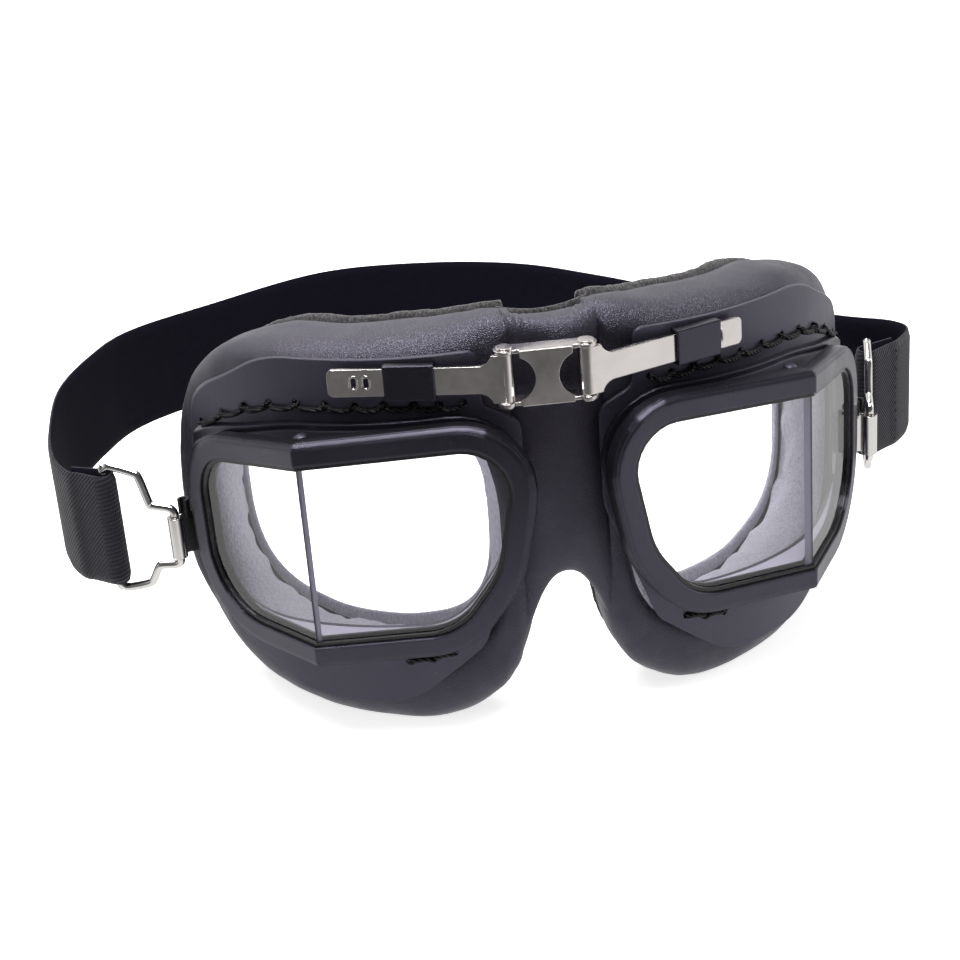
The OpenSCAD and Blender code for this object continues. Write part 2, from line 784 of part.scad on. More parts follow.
// Webbing along a route, as a thin closed band
module band(route, width, thickness) {
    n = len(route);
    points = [for (i = [0:n - 1])
        let (
            p = route[i],
            q = route[min(n - 1, i + 1)] - route[max(0, i - 1)],
            side = unit([-q[1], q[0]]) * thickness / 2
        )
        each [
            [p[0] + side[0], p[1] + side[1], strap_z + p[2] - width / 2],
            [p[0] - side[0], p[1] - side[1], strap_z + p[2] - width / 2],
            [p[0] - side[0], p[1] - side[1], strap_z + p[2] + width / 2],
            [p[0] + side[0], p[1] + side[1], strap_z + p[2] + width / 2]
        ]];
    polyhedron(points, skin_faces(n, 4, false), convexity = 10);
}

// Strap end folded back round its bar: tail on the head's side, then round, then out again
function end_fold(bar, away, side) =
    let (u = [cos(away), sin(away)], v = [-u[1], u[0]] * side)
    concat(
        [for (p = FOLD_TAIL) bar + p[0] * u + p[1] * v],
        [for (k = [0:6]) let (a = 75 + 35 * k) bar + fold_r * (cos(a) * u + sin(a) * v)],
        [for (p = FOLD_OUT) bar + p[0] * u - p[1] * v]
    );
function level(pts) = [for (p = pts) [p[0], p[1], 0]];
function reversed(pts) = [for (i = [len(pts) - 1:-1:0]) pts[i]];

left_fold = end_fold(bar_left, LEFT_AWAY, -1);
right_fold = end_fold(bar_right, RIGHT_AWAY, 1);

module head_strap() {
    color([0.04, 0.04, 0.07])
    band(concat(level(left_fold), open_curve(STRAP_ROUTE, 3), reversed(level(right_fold))),
        strap_w, strap_t);
}

// Rows of stitches on both faces of the strap's two end folds
module strap_stitching() {
    stitch_r = 0.25;
    stitch_l = 1.5;
    stitch_at = 8;
    stitch_gap = 0.05;
    lift = strap_t / 2 + stitch_r + stitch_gap;
    rows = 11;
    color([0.08, 0.08, 0.1])
    for (f = [[bar_left, LEFT_AWAY, -1], [bar_right, RIGHT_AWAY, 1]]) {
        u = [cos(f[1]), sin(f[1])];
        v = [-u[1], u[0]] * f[2];
        for (off = [lookup(stitch_at, FOLD_TAIL) + lift, -lookup(stitch_at, FOLD_OUT) - lift]) {
            p = f[0] + stitch_at * u + off * v;
            for (k = [0:rows - 1]) {
                translate([p[0], p[1], strap_z + (k - (rows - 1) / 2) * strap_w / (rows + 1)])
                    cylinder(r = stitch_r, h = stitch_l, center = true);
            }
        }
    }
}

placed() face_pad(-1);  // face_pad_left
placed() face_pad(1);  // face_pad_right
placed() nose_pad();
placed() pad_lining(-1);  // pad_lining_left
placed() pad_lining(1);  // pad_lining_right
placed() nose_lining();
placed() base_plate(-1);  // base_plate_left
placed() base_plate(1);  // base_plate_right
placed() eyecup(-1);  // eyecup_left
placed() eyecup(1);  // eyecup_right
placed() cup_stud(-1);  // cup_stud_left
placed() cup_stud(1);  // cup_stud_right
placed() lens_rim(-1);  // lens_rim_left
placed() lens_rim(1);  // lens_rim_right
placed() lens_gasket(-1);  // lens_gasket_left
placed() lens_gasket(1);  // lens_gasket_right
placed() pane(-1, true);  // front_pane_left
placed() pane(1, true);  // front_pane_right
placed() pane(-1, false);  // side_pane_left
placed() pane(1, false);  // side_pane_right
placed() lacing(-1);  // lacing_left
placed() lacing(1);  // lacing_right
placed() arm_keeper(-1);  // arm_keeper_left
placed() arm_keeper(1);  // arm_keeper_right
placed() bridge_arm(-1);  // bridge_arm_left
placed() bridge_arm(1);  // bridge_arm_right
placed() bridge_link();
placed() hinge_pin(-1);  // hinge_pin_left
placed() hinge_pin(1);  // hinge_pin_right
placed() side_hook(-1);  // side_hook_left
placed() side_hook(1);  // side_hook_right
placed() wire_loop(-1);  // wire_loop_left
placed() wire_loop(1);  // wire_loop_right
placed() head_strap();
placed() strap_stitching();
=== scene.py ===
"""Aviator goggles: the looks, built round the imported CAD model.

Shapes are worked out in millimetres: x from the middle plane, y back from the fold of the glass,
z up from the surface that the goggles stand on. placed() turns them into the frame's metres.
"""

import math

import bmesh
import bpy
import numpy as np
from mathutils import Matrix, Vector, noise


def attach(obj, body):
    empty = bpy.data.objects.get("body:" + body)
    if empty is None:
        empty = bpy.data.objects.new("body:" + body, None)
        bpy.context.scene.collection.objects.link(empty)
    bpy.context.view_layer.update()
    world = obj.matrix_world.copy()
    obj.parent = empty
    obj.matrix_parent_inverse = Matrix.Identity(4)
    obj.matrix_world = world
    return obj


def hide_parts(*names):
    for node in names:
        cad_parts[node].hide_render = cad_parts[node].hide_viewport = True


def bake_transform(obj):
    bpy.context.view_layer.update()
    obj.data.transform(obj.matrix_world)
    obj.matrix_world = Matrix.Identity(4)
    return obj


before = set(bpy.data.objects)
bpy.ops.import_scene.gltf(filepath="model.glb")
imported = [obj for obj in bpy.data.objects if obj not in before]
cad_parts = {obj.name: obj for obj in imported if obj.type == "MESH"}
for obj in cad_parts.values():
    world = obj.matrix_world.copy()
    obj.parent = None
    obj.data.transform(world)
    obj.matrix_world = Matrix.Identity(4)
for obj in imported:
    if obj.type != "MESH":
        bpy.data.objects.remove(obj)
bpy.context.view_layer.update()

MM = 0.001
WORDS = {-1: "left", 1: "right"}

# Where the frame's origin lies
MIDDLE_X = -3.55
MIDDLE_Y = 77.2006

# Height of the glass's middle, place of its fold, and the turn of the mitre there in degrees
LENS_Z = 48.5
KINK_X = 57.4
MITRE = 36.5

# The base plate's front is a cylinder round an upright line. The pad lies behind it with a gap.
PLATE_R = 77.5
PLATE_X = 7.6
PLATE_Y = 74.5
PLATE_T = 1.0
PAD_GAP = 0.3

# Middle and height of the right side hook's tube, where the wire loop swings
HOOK = np.array([84.5, 36.3, LENS_Z - 7.2])
HOOK_H = 10.3

# Middle of the right eyecup, out from the middle plane
CUP_X = 50


def placed(points):
    """Millimetres to the frame's metres."""
    return (np.asarray(points, float) - np.array([MIDDLE_X, MIDDLE_Y, 0])) * MM


def mirrored(points, side):
    """Points of the right side, turned to the given side."""
    return points * np.array([side, 1, 1])


def mix(a, b, t):
    """Value a share t of the way from a to b."""
    return a + (b - a) * t


def ease(t):
    """Soft step from 0 to 1."""
    c = np.clip(t, 0, 1)
    return c * c * (3 - 2 * c)


def step_between(x, ends):
    """Soft step from 0 to 1 between two places."""
    return ease((x - ends[0]) / (ends[1] - ends[0]))


def hill(x, middle, width):
    """Soft hill of height 1 round a middle."""
    return np.exp(-((x - middle) / width) ** 2)


def unit(v):
    """Vectors brought to length 1."""
    v = np.asarray(v, float)
    return v / np.maximum(np.linalg.norm(v, axis=-1, keepdims=True), 1e-9)


def curve_point(a, b, c, d, t):
    """Point of the smooth curve from b to c, whose neighbours are a and d."""
    second = 2 * a - 5 * b + 4 * c - d
    third = 3 * b - a - 3 * c + d
    return 0.5 * (2 * b + (c - a) * t + second * t * t + third * t ** 3)


def loop_curve(points, count):
    """Smooth closed curve through points."""
    pts = np.asarray(points, float)
    n = len(pts)
    out = []
    for k in range(count):
        u = k * n / count
        i = int(u)
        out.append(curve_point(pts[i - 1], pts[i], pts[(i + 1) % n], pts[(i + 2) % n], u - i))
    return np.array(out)


def open_curve(points, per_span):
    """Smooth open curve through points."""
    pts = np.asarray(points, float)
    n = len(pts)
    out = []
    for i in range(n - 1):
        for k in range(per_span):
            a = pts[max(0, i - 1)]
            d = pts[min(n - 1, i + 2)]
            out.append(curve_point(a, pts[i], pts[i + 1], d, k / per_span))
    out.append(pts[-1])
    return np.array(out)


def even(points, step):
    """Points a step apart along a line."""
    pts = np.asarray(points, float)
    along = np.concatenate([[0], np.cumsum(np.linalg.norm(np.diff(pts, axis=0), axis=1))])
    count = max(2, int(round(along[-1] / step)) + 1)
    at = np.linspace(0, along[-1], count)
    return np.stack([np.interp(at, along, pts[:, k]) for k in range(pts.shape[1])], 1)


def rough(points, scale, seed):
    """Smooth noise from -1 to 1 at points in millimetres."""
    return np.array([noise.noise(Vector(p) / scale + Vector((seed, 2 * seed, 0))) for p in points])


def grid_faces(rings, sides, ring_loop, side_loop):
    """Faces between rings of points, each with the same number of sides."""
    faces = []
    for i in range(rings if ring_loop else rings - 1):
        for j in range(sides if side_loop else sides - 1):
            k = (i + 1) % rings
            m = (j + 1) % sides
            faces.append((i * sides + j, k * sides + j, k * sides + m, i * sides + m))
    return faces


def in_scene(name, data):
    """New object of this data, in the scene."""
    obj = bpy.data.objects.new(name, data)
    bpy.context.collection.objects.link(obj)
    return obj


def new_mesh(name, points, faces, material):
    """Smooth object from points in millimetres."""
    mesh = bpy.data.meshes.new(name)
    mesh.from_pydata([tuple(p) for p in placed(points)], [], faces)
    mesh.validate()
    mesh.update()
    mesh.polygons.foreach_set("use_smooth", [True] * len(mesh.polygons))
    obj = in_scene(name, mesh)
    mesh.materials.append(material)
    return obj


def face_out(obj):
    """Turns a closed mesh's faces outwards."""
    b = bmesh.new()
    b.from_mesh(obj.data)
    bmesh.ops.recalc_face_normals(b, faces=b.faces)
    b.to_mesh(obj.data)
    b.free()
    obj.data.update()


def tube(name, path, radius, material, smoothness=6):
    """Round cord or wire along a path in millimetres."""
    curve = bpy.data.curves.new(name, "CURVE")
    curve.dimensions = "3D"
    curve.bevel_depth = radius * MM
    curve.bevel_resolution = smoothness
    curve.use_fill_caps = True
    spline = curve.splines.new("POLY")
    pts = placed(path)
    spline.points.add(len(pts) - 1)
    for point, place in zip(spline.points, pts):
        point.co = (*place, 1)
    spline.use_smooth = True
    obj = in_scene(name, curve)
    curve.materials.append(material)
    return obj


def outward_normals(points, faces, material):
    """Normals of a whole skin, for the pieces cut from it."""
    whole = new_mesh("whole", points, faces, material)
    face_out(whole)
    normals = np.zeros(len(points) * 3)
    whole.data.vertices.foreach_get("normal", normals)
    bpy.data.objects.remove(whole)
    return normals.reshape(-1, 3)


class Finish:
    """A material being built from nodes."""

    def __init__(self, name, color, roughness, metallic=0.0):
        self.material = bpy.data.materials.new(name)
        self.material.use_nodes = True
        self.tree = self.material.node_tree
        self.shader = self.tree.nodes["Principled BSDF"]
        self.shader.inputs["Base Color"].default_value = (*color, 1)
        self.shader.inputs["Roughness"].default_value = roughness
        self.shader.inputs["Metallic"].default_value = metallic

    def add(self, kind, **values):
        """New node with these settings."""
        node = self.tree.nodes.new(kind)
        for key, value in values.items():
            setattr(node, key, value)
        return node

    def link(self, a, b):
        self.tree.links.new(a, b)

    def noise(self, scale, detail=3.0, stretch=None, uv=False, roughness=0.55):
        """Cloudy values round 0.5."""
        node = self.add("ShaderNodeTexNoise")
        node.inputs["Scale"].default_value = scale
        node.inputs["Detail"].default_value = detail
        node.inputs["Roughness"].default_value = roughness
        self.link(self.mapped(stretch, uv), node.inputs["Vector"])
        return node.outputs["Fac"]

    def mapped(self, stretch=None, uv=False):
        """Place in the object or on its UV map, in metres."""
        if uv:
            source = self.add("ShaderNodeUVMap").outputs["UV"]
        else:
            source = self.add("ShaderNodeTexCoord").outputs["Object"]
        if stretch is None:
            return source
        node = self.add("ShaderNodeMapping")
        node.inputs["Scale"].default_value = stretch
        self.link(source, node.inputs["Vector"])
        return node.outputs["Vector"]

    def cells(self, scale):
        """Distance from the edges of random cells."""
        node = self.add("ShaderNodeTexVoronoi", feature="DISTANCE_TO_EDGE")
        node.inputs["Scale"].default_value = scale
        self.link(self.mapped(), node.inputs["Vector"])
        return node.outputs["Distance"]

    def wave(self, scale, direction, distortion, uv=False, stretch=None):
        """Even bands across a direction."""
        node = self.add("ShaderNodeTexWave", bands_direction=direction)
        node.inputs["Scale"].default_value = scale
        node.inputs["Distortion"].default_value = distortion
        self.link(self.mapped(stretch, uv), node.inputs["Vector"])
        return node.outputs["Fac"]

    def ramp(self, value, low, high, at=(0.0, 1.0)):
        """Value turned into numbers from low to high between two places."""
        node = self.add("ShaderNodeMapRange")
        node.inputs["From Min"].default_value = at[0]
        node.inputs["From Max"].default_value = at[1]
        node.inputs["To Min"].default_value = low
        node.inputs["To Max"].default_value = high
        self.link(value, node.inputs["Value"])
        return node.outputs["Result"]

    def colors(self, value, low, high):
        """Base colour from low to high as the value goes from 0 to 1."""
        node = self.add("ShaderNodeValToRGB")
        node.color_ramp.elements[0].color = (*low, 1)
        node.color_ramp.elements[1].color = (*high, 1)
        self.link(value, node.inputs["Fac"])
        self.link(node.outputs["Color"], self.shader.inputs["Base Color"])
        return node

    def calculated(self, operation, *values, kind="ShaderNodeMath"):
        """Outputs of a node that calculates with other nodes' outputs and with constants."""
        node = self.add(kind, operation=operation)
        for entry, value in zip(node.inputs, values):
            if isinstance(value, bpy.types.NodeSocket):
                self.link(value, entry)
            else:
                entry.default_value = value
        return node.outputs

    def vector(self, operation, *values):
        """Vector calculated from others."""
        return self.calculated(operation, *values, kind="ShaderNodeVectorMath")["Vector"]

    def sum(self, a, b, weight=1.0):
        """a + weight * b"""
        return self.calculated("MULTIPLY_ADD", b, weight, a)["Value"]

    def product(self, a, b):
        return self.calculated("MULTIPLY", a, b)["Value"]

    def offset_from(self, place):
        """The way from a place in the frame: its level part, and the height."""
        parts = self.add("ShaderNodeSeparateXYZ")
        self.link(self.vector("SUBTRACT", self.mapped(), tuple(place)), parts.inputs["Vector"])
        level = self.add("ShaderNodeCombineXYZ")
        self.link(parts.outputs["X"], level.inputs["X"])
        self.link(parts.outputs["Y"], level.inputs["Y"])
        return level.outputs["Vector"], parts.outputs["Z"]

    def length(self, vector):
        return self.calculated("LENGTH", vector, kind="ShaderNodeVectorMath")["Value"]

    def dot(self, a, b):
        return self.calculated("DOT_PRODUCT", a, b, kind="ShaderNodeVectorMath")["Value"]

    def mixed(self, share, first, second):
        """Shader from the first to the second as the share goes from 0 to 1."""
        node = self.add("ShaderNodeMixShader")
        for entry, value in zip(node.inputs, (share, first, second)):
            self.link(value, entry)
        return node.outputs["Shader"]

    def surface(self, shader):
        """Makes this shader the material's surface."""
        self.link(shader, self.tree.nodes["Material Output"].inputs["Surface"])

    def bump(self, height, strength, distance, soft_edge=0.0):
        """Relief, with edges that look rounded by soft_edge metres."""
        node = self.add("ShaderNodeBump")
        node.inputs["Strength"].default_value = strength
        node.inputs["Distance"].default_value = distance
        self.link(height, node.inputs["Height"])
        if soft_edge:
            bevel = self.add("ShaderNodeBevel", samples=4)
            bevel.inputs["Radius"].default_value = soft_edge
            self.link(bevel.outputs["Normal"], node.inputs["Normal"])
        self.link(node.outputs["Normal"], self.shader.inputs["Normal"])

    def set(self, name, value):
        """Gives one of the shader's inputs a constant."""
        self.shader.inputs[name].default_value = value

    def drive(self, name, value):
        """Links one of the shader's inputs to a node's output."""
        self.link(value, self.shader.inputs[name])


# Colours that several materials share. The blacks shine with a violet tint.
VIOLET = (0.80, 0.75, 1.0, 1)
BLACK_PAINT = (0.0045, 0.0043, 0.0055)
PALE_PAINT = (0.42, 0.40, 0.47)
HOOK_SHINE = (0.7, 0.68, 0.66)

# In metres: depth of the glass's ground mitre and half its width, how far the coarse ribs reach from
# the strap's ends, and how far from the hook tube's middle the nickel hook shows as nickel; beyond
# that it is painted black, as painted dark reflection and shade
MITRE_DEPTH = 0.0019
MITRE_HALF = 0.00020
FOLD_RIBS = 0.0165
HOOK_SHADE_PAINTED_FROM = {-1: 0.0019, 1: 0.0062}


def violet_shine(f):
    """Tints and strengthens the highlights of a black."""
    f.set("Specular Tint", VIOLET)
    f.set("Specular IOR Level", 0.8)


def painted_metal(name, color, roughness, soft_edge):
    """Stove-enamelled metal: a faint orange peel and specks of dust."""
    f = Finish(name, color, roughness)
    patches = f.noise(60, 4)
    f.drive("Roughness", f.ramp(patches, roughness - 0.04, roughness + 0.07, (0.3, 0.7)))
    dusty = tuple(c * 2.5 + 0.004 for c in color)
    f.colors(f.ramp(f.noise(1300, 5), 0, 1, (0.6, 0.85)), color, dusty)
    f.bump(f.noise(1600, 2), 0.04, 0.0001, soft_edge)
    violet_shine(f)
    return f.material


def cup_metal(side):
    """Black outside; the side that faces the eye is pale."""
    f = Finish(f"eyecup_{WORDS[side]}", BLACK_PAINT, 0.32)
    from_eye = f.vector("SUBTRACT", f.mapped(), tuple(placed((side * CUP_X, 0, LENS_Z))))
    out = f.vector("NORMALIZE", f.vector("MULTIPLY", from_eye, (1, 0, 1)))
    facing = f.dot(out, f.add("ShaderNodeNewGeometry").outputs["True Normal"])
    inside = f.ramp(facing, 1, 0, (-0.4, -0.3))
    f.colors(inside, BLACK_PAINT, PALE_PAINT)
    f.drive("Roughness", f.sum(f.ramp(inside, 0.28, 0.7), f.noise(60, 4), 0.1))
    f.bump(f.noise(1600, 2), 0.04, 0.0001, 0.0007)
    violet_shine(f)
    return f.material


def bright_metal(name, color, roughness, soft_edge):
    """Nickel plate with fine polishing lines and duller patches."""
    f = Finish(name, color, roughness, 1.0)
    lines = f.noise(500, 3, (1, 1, 14))
    patches = f.noise(140, 3)
    worn = f.sum(patches, lines, 0.5)
    f.drive("Roughness", f.ramp(worn, roughness - 0.05, roughness + 0.12, (0.45, 1.05)))
    f.colors(f.ramp(patches, 0, 1, (0.35, 0.75)), tuple(c * 0.85 for c in color), color)
    f.bump(lines, 0.05, 0.0002, soft_edge)
    return f.material


def hook_with_painted_shade(side):
    """The side hook, all nickel: its rolled tube shows as nickel, and the rest is painted black, a
    painted dark reflection and shade.
    """
    f = Finish(f"hook_{WORDS[side]}", HOOK_SHINE, 0.2)
    level, height = f.offset_from(placed(mirrored(HOOK, side)))
    reach = HOOK_SHADE_PAINTED_FROM[side]
    top = HOOK_H / 2 * MM
    near = f.ramp(f.length(level), 1, 0, (reach, reach + 0.00006))
    low = f.ramp(height, 1, 0, (top + 0.00005, top + 0.0001))
    nickel_not_shade_painted = f.product(near, low)
    # painted shade: black where the nickel strip would mirror dark things and lie in shade
    f.colors(nickel_not_shade_painted, (0.005, 0.005, 0.006), HOOK_SHINE)
    f.drive("Metallic", nickel_not_shade_painted)
    f.drive("Roughness", f.sum(f.ramp(nickel_not_shade_painted, 0.34, 0.16), f.noise(300, 3), 0.1))
    f.bump(f.noise(700, 3), 0.05, 0.0002, 0.0003)
    return f.material


def leather():
    """Fine-grained black hide with a soft shine."""
    f = Finish("black_hide", (0.005, 0.005, 0.006), 0.42)
    pebbles = f.cells(2300)
    fine = f.noise(5200, 3)
    folds = f.noise(210, 4, roughness=0.6)
    height = f.sum(f.sum(f.ramp(pebbles, 0, 1, (0, 0.28)), fine, 0.6), folds)
    faded = f.ramp(f.noise(85, 4), 0, 1, (0.3, 0.75))
    f.colors(faded, (0.004, 0.0037, 0.005), (0.009, 0.0085, 0.010))
    f.drive("Roughness", f.ramp(f.sum(f.noise(120, 3), pebbles, 0.25), 0.33, 0.46, (0.3, 0.8)))
    f.bump(height, 0.55, 0.00012)
    violet_shine(f)
    return f.material


def felt(name, low, high, sheen):
    """Pressed felt: matt, with a nap of short fibres."""
    f = Finish(name, high, 0.95)
    fibres = f.noise(2400, 5, (1, 1, 0.4))
    f.colors(f.ramp(fibres, 0, 1, (0.35, 0.7)), low, high)
    f.bump(f.sum(fibres, f.noise(700, 3), 1.5), 0.8, 0.0005)
    f.set("Sheen Weight", sheen)
    f.set("Sheen Roughness", 0.6)
    f.set("Specular IOR Level", 0.15)
    return f.material


def twill(length):
    """Outside of the elastic webbing, along its length in metres: fine twill, and coarse ribs where
    the ends are folded round the wires."""
    f = Finish("webbing_twill", (0.010, 0.010, 0.015), 0.8)
    along = f.add("ShaderNodeSeparateXYZ")
    f.link(f.mapped(uv=True), along.inputs["Vector"])
    first = f.ramp(along.outputs["X"], 1, 0, (FOLD_RIBS, FOLD_RIBS + 0.0006))
    last = f.ramp(along.outputs["X"], 0, 1, (length - FOLD_RIBS - 0.0006, length - FOLD_RIBS))
    folded = f.sum(first, last)
    ribs = f.wave(610, "DIAGONAL", 0.5, uv=True, stretch=(0.25, 1, 1))
    fine = f.wave(640, "DIAGONAL", 0.6, uv=True, stretch=(1, 0.9, 1))
    pick = f.add("ShaderNodeMix")
    f.link(folded, pick.inputs["Factor"])
    f.link(fine, pick.inputs["A"])
    f.link(ribs, pick.inputs["B"])
    yarn = f.wave(700, "X", 0.6, uv=True)
    cloth = f.noise(2600, 3, uv=True)
    height = f.sum(f.sum(pick.outputs["Result"], yarn, 0.3), cloth, 0.6)
    f.colors(f.ramp(height, 0, 1, (0.3, 1.7)), (0.001, 0.001, 0.002), (0.015, 0.014, 0.023))
    f.bump(height, 0.6, 0.0003)
    f.set("Sheen Weight", 0.12)
    f.set("Sheen Roughness", 0.5)
    f.set("Specular IOR Level", 0.2)
    return f.material


def knit():
    """Inside of the webbing: smooth, with very fine rows."""
    f = Finish("webbing_knit", (0.008, 0.0075, 0.014), 0.85)
    rows = f.wave(900, "Y", 0.5, uv=True)
    cloth = f.noise(2600, 4, (1, 0.3, 1), uv=True)
    height = f.sum(rows, cloth, 1.2)
    f.colors(f.ramp(height, 0, 1, (0.4, 1.7)), (0.0015, 0.0013, 0.0034), (0.005, 0.0046, 0.0096))
    f.bump(height, 0.25, 0.00015)
    f.set("Specular IOR Level", 0.06)
    return f.material


def waxed_thread():
    """Waxed thread: twisted strands with a dull shine."""
    f = Finish("waxed_thread", (0.006, 0.006, 0.007), 0.5)
    twist = f.wave(500, "DIAGONAL", 0.8)
    fluff = f.noise(3000, 3)
    strands = f.ramp(f.sum(twist, fluff), 0, 1, (0.6, 1.6))
    f.colors(strands, (0.001, 0.001, 0.0013), (0.012, 0.012, 0.014))
    f.bump(f.sum(twist, fluff, 0.8), 0.8, 0.0003)
    f.set("Specular IOR Level", 0.25)
    return f.material


def rubber():
    """Black rubber with a light nap."""
    f = Finish("gasket_rubber", (0.006, 0.006, 0.007), 0.3)
    nap = f.noise(1900, 4)
    f.colors(f.ramp(nap, 0, 1, (0.4, 0.75)), (0.002, 0.002, 0.0025), (0.014, 0.014, 0.015))
    f.bump(nap, 0.15, 0.0002, 0.0003)
    return f.material


def glass(side):
    """Clear flat pane: straight through, with a mirror of the room that grows at a slant. The cut
    edges along the fold are ground, so they are a grey of their own."""
    f = Finish(f"clear_glass_{WORDS[side]}", (0.30, 0.29, 0.37), 0.45)
    clear = f.add("ShaderNodeBsdfTransparent")
    clear.inputs["Color"].default_value = (0.972, 0.970, 0.985, 1)
    mirror = f.add("ShaderNodeBsdfGlossy")
    slant = f.add("ShaderNodeFresnel")
    slant.inputs["IOR"].default_value = 1.75
    f.link(f.ramp(f.noise(45, 4), 0.01, 0.06, (0.35, 0.8)), mirror.inputs["Roughness"])
    outside = f.ramp(f.add("ShaderNodeNewGeometry").outputs["Backfacing"], 1, 0)
    shine = f.product(slant.outputs["Fac"], outside)
    pane = f.mixed(shine, clear.outputs["BSDF"], mirror.outputs["BSDF"])
    level = f.offset_from(placed((side * KINK_X, 0, 0)))[0]
    turn = math.radians(MITRE)
    across = f.dot(level, (side * math.cos(turn), math.sin(turn), 0))
    deep = f.length(level)
    edge = f.colors(f.ramp(deep, 0, 1, (0, MITRE_DEPTH)), (0.02, 0.02, 0.03), (0.15, 0.14, 0.19))
    edge.color_ramp.elements[1].position = 0.3
    off_fold = f.calculated("ABSOLUTE", across)["Value"]
    thin = f.ramp(off_fold, 1, 0, (MITRE_HALF, MITRE_HALF * 1.2))
    near = f.ramp(deep, 1, 0, (MITRE_DEPTH, MITRE_DEPTH * 1.05))
    f.surface(f.mixed(f.product(thin, near), pane, f.shader.outputs["BSDF"]))
    return f.material


RIM = painted_metal("satin_black_rim", BLACK_PAINT, 0.30, 0.0010)
SHELL = painted_metal("satin_black_plate", (0.016, 0.015, 0.021), 0.42, 0.0007)
BOX = painted_metal("gloss_black_keeper", (0.003, 0.003, 0.0035), 0.22, 0.0006)
NICKEL = bright_metal("polished_nickel", (0.74, 0.70, 0.68), 0.15, 0.00025)
WIRE = bright_metal("nickel_wire", (0.80, 0.78, 0.76), 0.13, 0.0)
LEATHER = leather()
WELT = painted_metal("leather_edge", (0.035, 0.033, 0.040), 0.55, 0.0)
FELT = felt("felt_lining", (0.012, 0.011, 0.012), (0.090, 0.084, 0.088), 0.2)
FLEECE = felt("pale_fleece", (0.38, 0.37, 0.43), (0.58, 0.56, 0.64), 0.3)
KNIT = knit()
THREAD = waxed_thread()
RUBBER = rubber()
GLASS = {word: glass(side) for side, word in WORDS.items()}
CUPS = {word: cup_metal(side) for side, word in WORDS.items()}
HOOKS = {word: hook_with_painted_shade(side) for side, word in WORDS.items()}

# Finish of the CAD pieces that show, by the start of their names
CAD_FINISH = {
    "lens_rim": RIM, "eyecup": CUPS, "base_plate": SHELL, "cup_stud": SHELL, "arm_keeper": BOX,
    "lens_gasket": RUBBER, "front_pane": GLASS, "side_pane": GLASS, "bridge_arm": NICKEL,
    "bridge_link": NICKEL, "hinge_pin": NICKEL, "side_hook": HOOKS,
}
for node_name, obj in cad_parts.items():
    for start, material in CAD_FINISH.items():
        if node_name.startswith(start):
            if isinstance(material, dict):
                material = material[node_name.rsplit("_", 1)[1]]
            obj.data.materials.clear()
            obj.data.materials.append(material)

# Cushions: the right pad's outline from the front, then its eye hole's middle, half size and
# squareness
PAD_OUTER = [
    (8, 12), (8, -8), (8.2, -23), (12.3, -35.5), (20, -44), (31, -48.8), (44, -49.2), (59, -48),
    (74, -41.5), (82.5, -25), (84.2, -3), (81.5, 19), (73.5, 36), (61, 42.6), (46, 43.8),
    (28, 46), (11, 48.8), (7.9, 44),
]
EYE_MIDDLE = np.array([44.5, -1.5])
EYE_HALF = np.array([29.0, 29.5])
EYE_POWER = 3

# Depth of the pad behind the plate: at the nose and in full, where it grows, where it falls again
# towards the temple, and by how much
DEPTH_NOSE = 13
DEPTH_FULL = 21
DEPTH_GROWS = (8, 34)
DEPTH_FALLS = (58, 80)
DEPTH_LESS = 6

# Share of the plate's radius up to which the pad follows it, and how much of the plate's slant the
# pad leans by, at the eye hole and at the outer edge
PAD_WRAP = 0.93
LEAN = (0.45, 0.75)

# Points round the pad, squareness and crown of the cushion's section, and the lowest place of a soft
# point
PAD_STATIONS = 252
CUSHION_POWER = 2.7
CUSHION_CROWN = 0.45
FOOT = 0.02

# How far the leather goes in and out: coarse and fine bumps, creases by the nose and scallops at the
# eye hole, and how far its seam stands out
BUMPS = (0.28, 0.10)
CREASES = 0.3
SCALLOPS = 1.5
SEAM_OUT = 1.3

# The cushion's cut edge: its place in the section in degrees, its crown, radius and lowest place
WELT_TURN = 62
WELT_CROWN = 0.9
WELT_R = 0.28
WELT_FOOT = 0.35

# Lining: thickness, squareness of its section, the share by which it is narrower at each edge, how far
# its outer edge is torn, finely and coarsely, and how far it flares at the nose
LINING_T = 2.2
LINING_POWER = 3.2
LINING_INSET = 0.03
TORN = (0.2, 0.25)
FLARE = 0.9


def depth_at(x):
    """Depth of the pad behind the plate."""
    grown = mix(DEPTH_NOSE, DEPTH_FULL, step_between(x, DEPTH_GROWS))
    return grown - DEPTH_LESS * step_between(x, DEPTH_FALLS)


def pad_place(x, z, d, share):
    """Place of a pad's point: seen from the front at x, z, a depth d behind the plate, with its
    share of the way from the eye hole to the outer edge."""
    r = PLATE_R - PLATE_T - PAD_GAP
    a = np.arcsin(np.minimum(PAD_WRAP, (x - PLATE_X) / r))
    beyond = np.maximum(0, x - PLATE_X - PAD_WRAP * r)
    lean = a * mix(LEAN[0], LEAN[1], share)
    return np.stack([
        PLATE_X + r * np.sin(a) + beyond - d * np.sin(lean),
        PLATE_Y - r * np.cos(a) + beyond / 2 + d * np.cos(lean),
        LENS_Z + z,
    ], -1)


def bulge(v, power):
    """Sine or cosine of a circle, pushed out towards a square: 2 is the circle."""
    return np.sign(v) * np.abs(v) ** (2 / power)


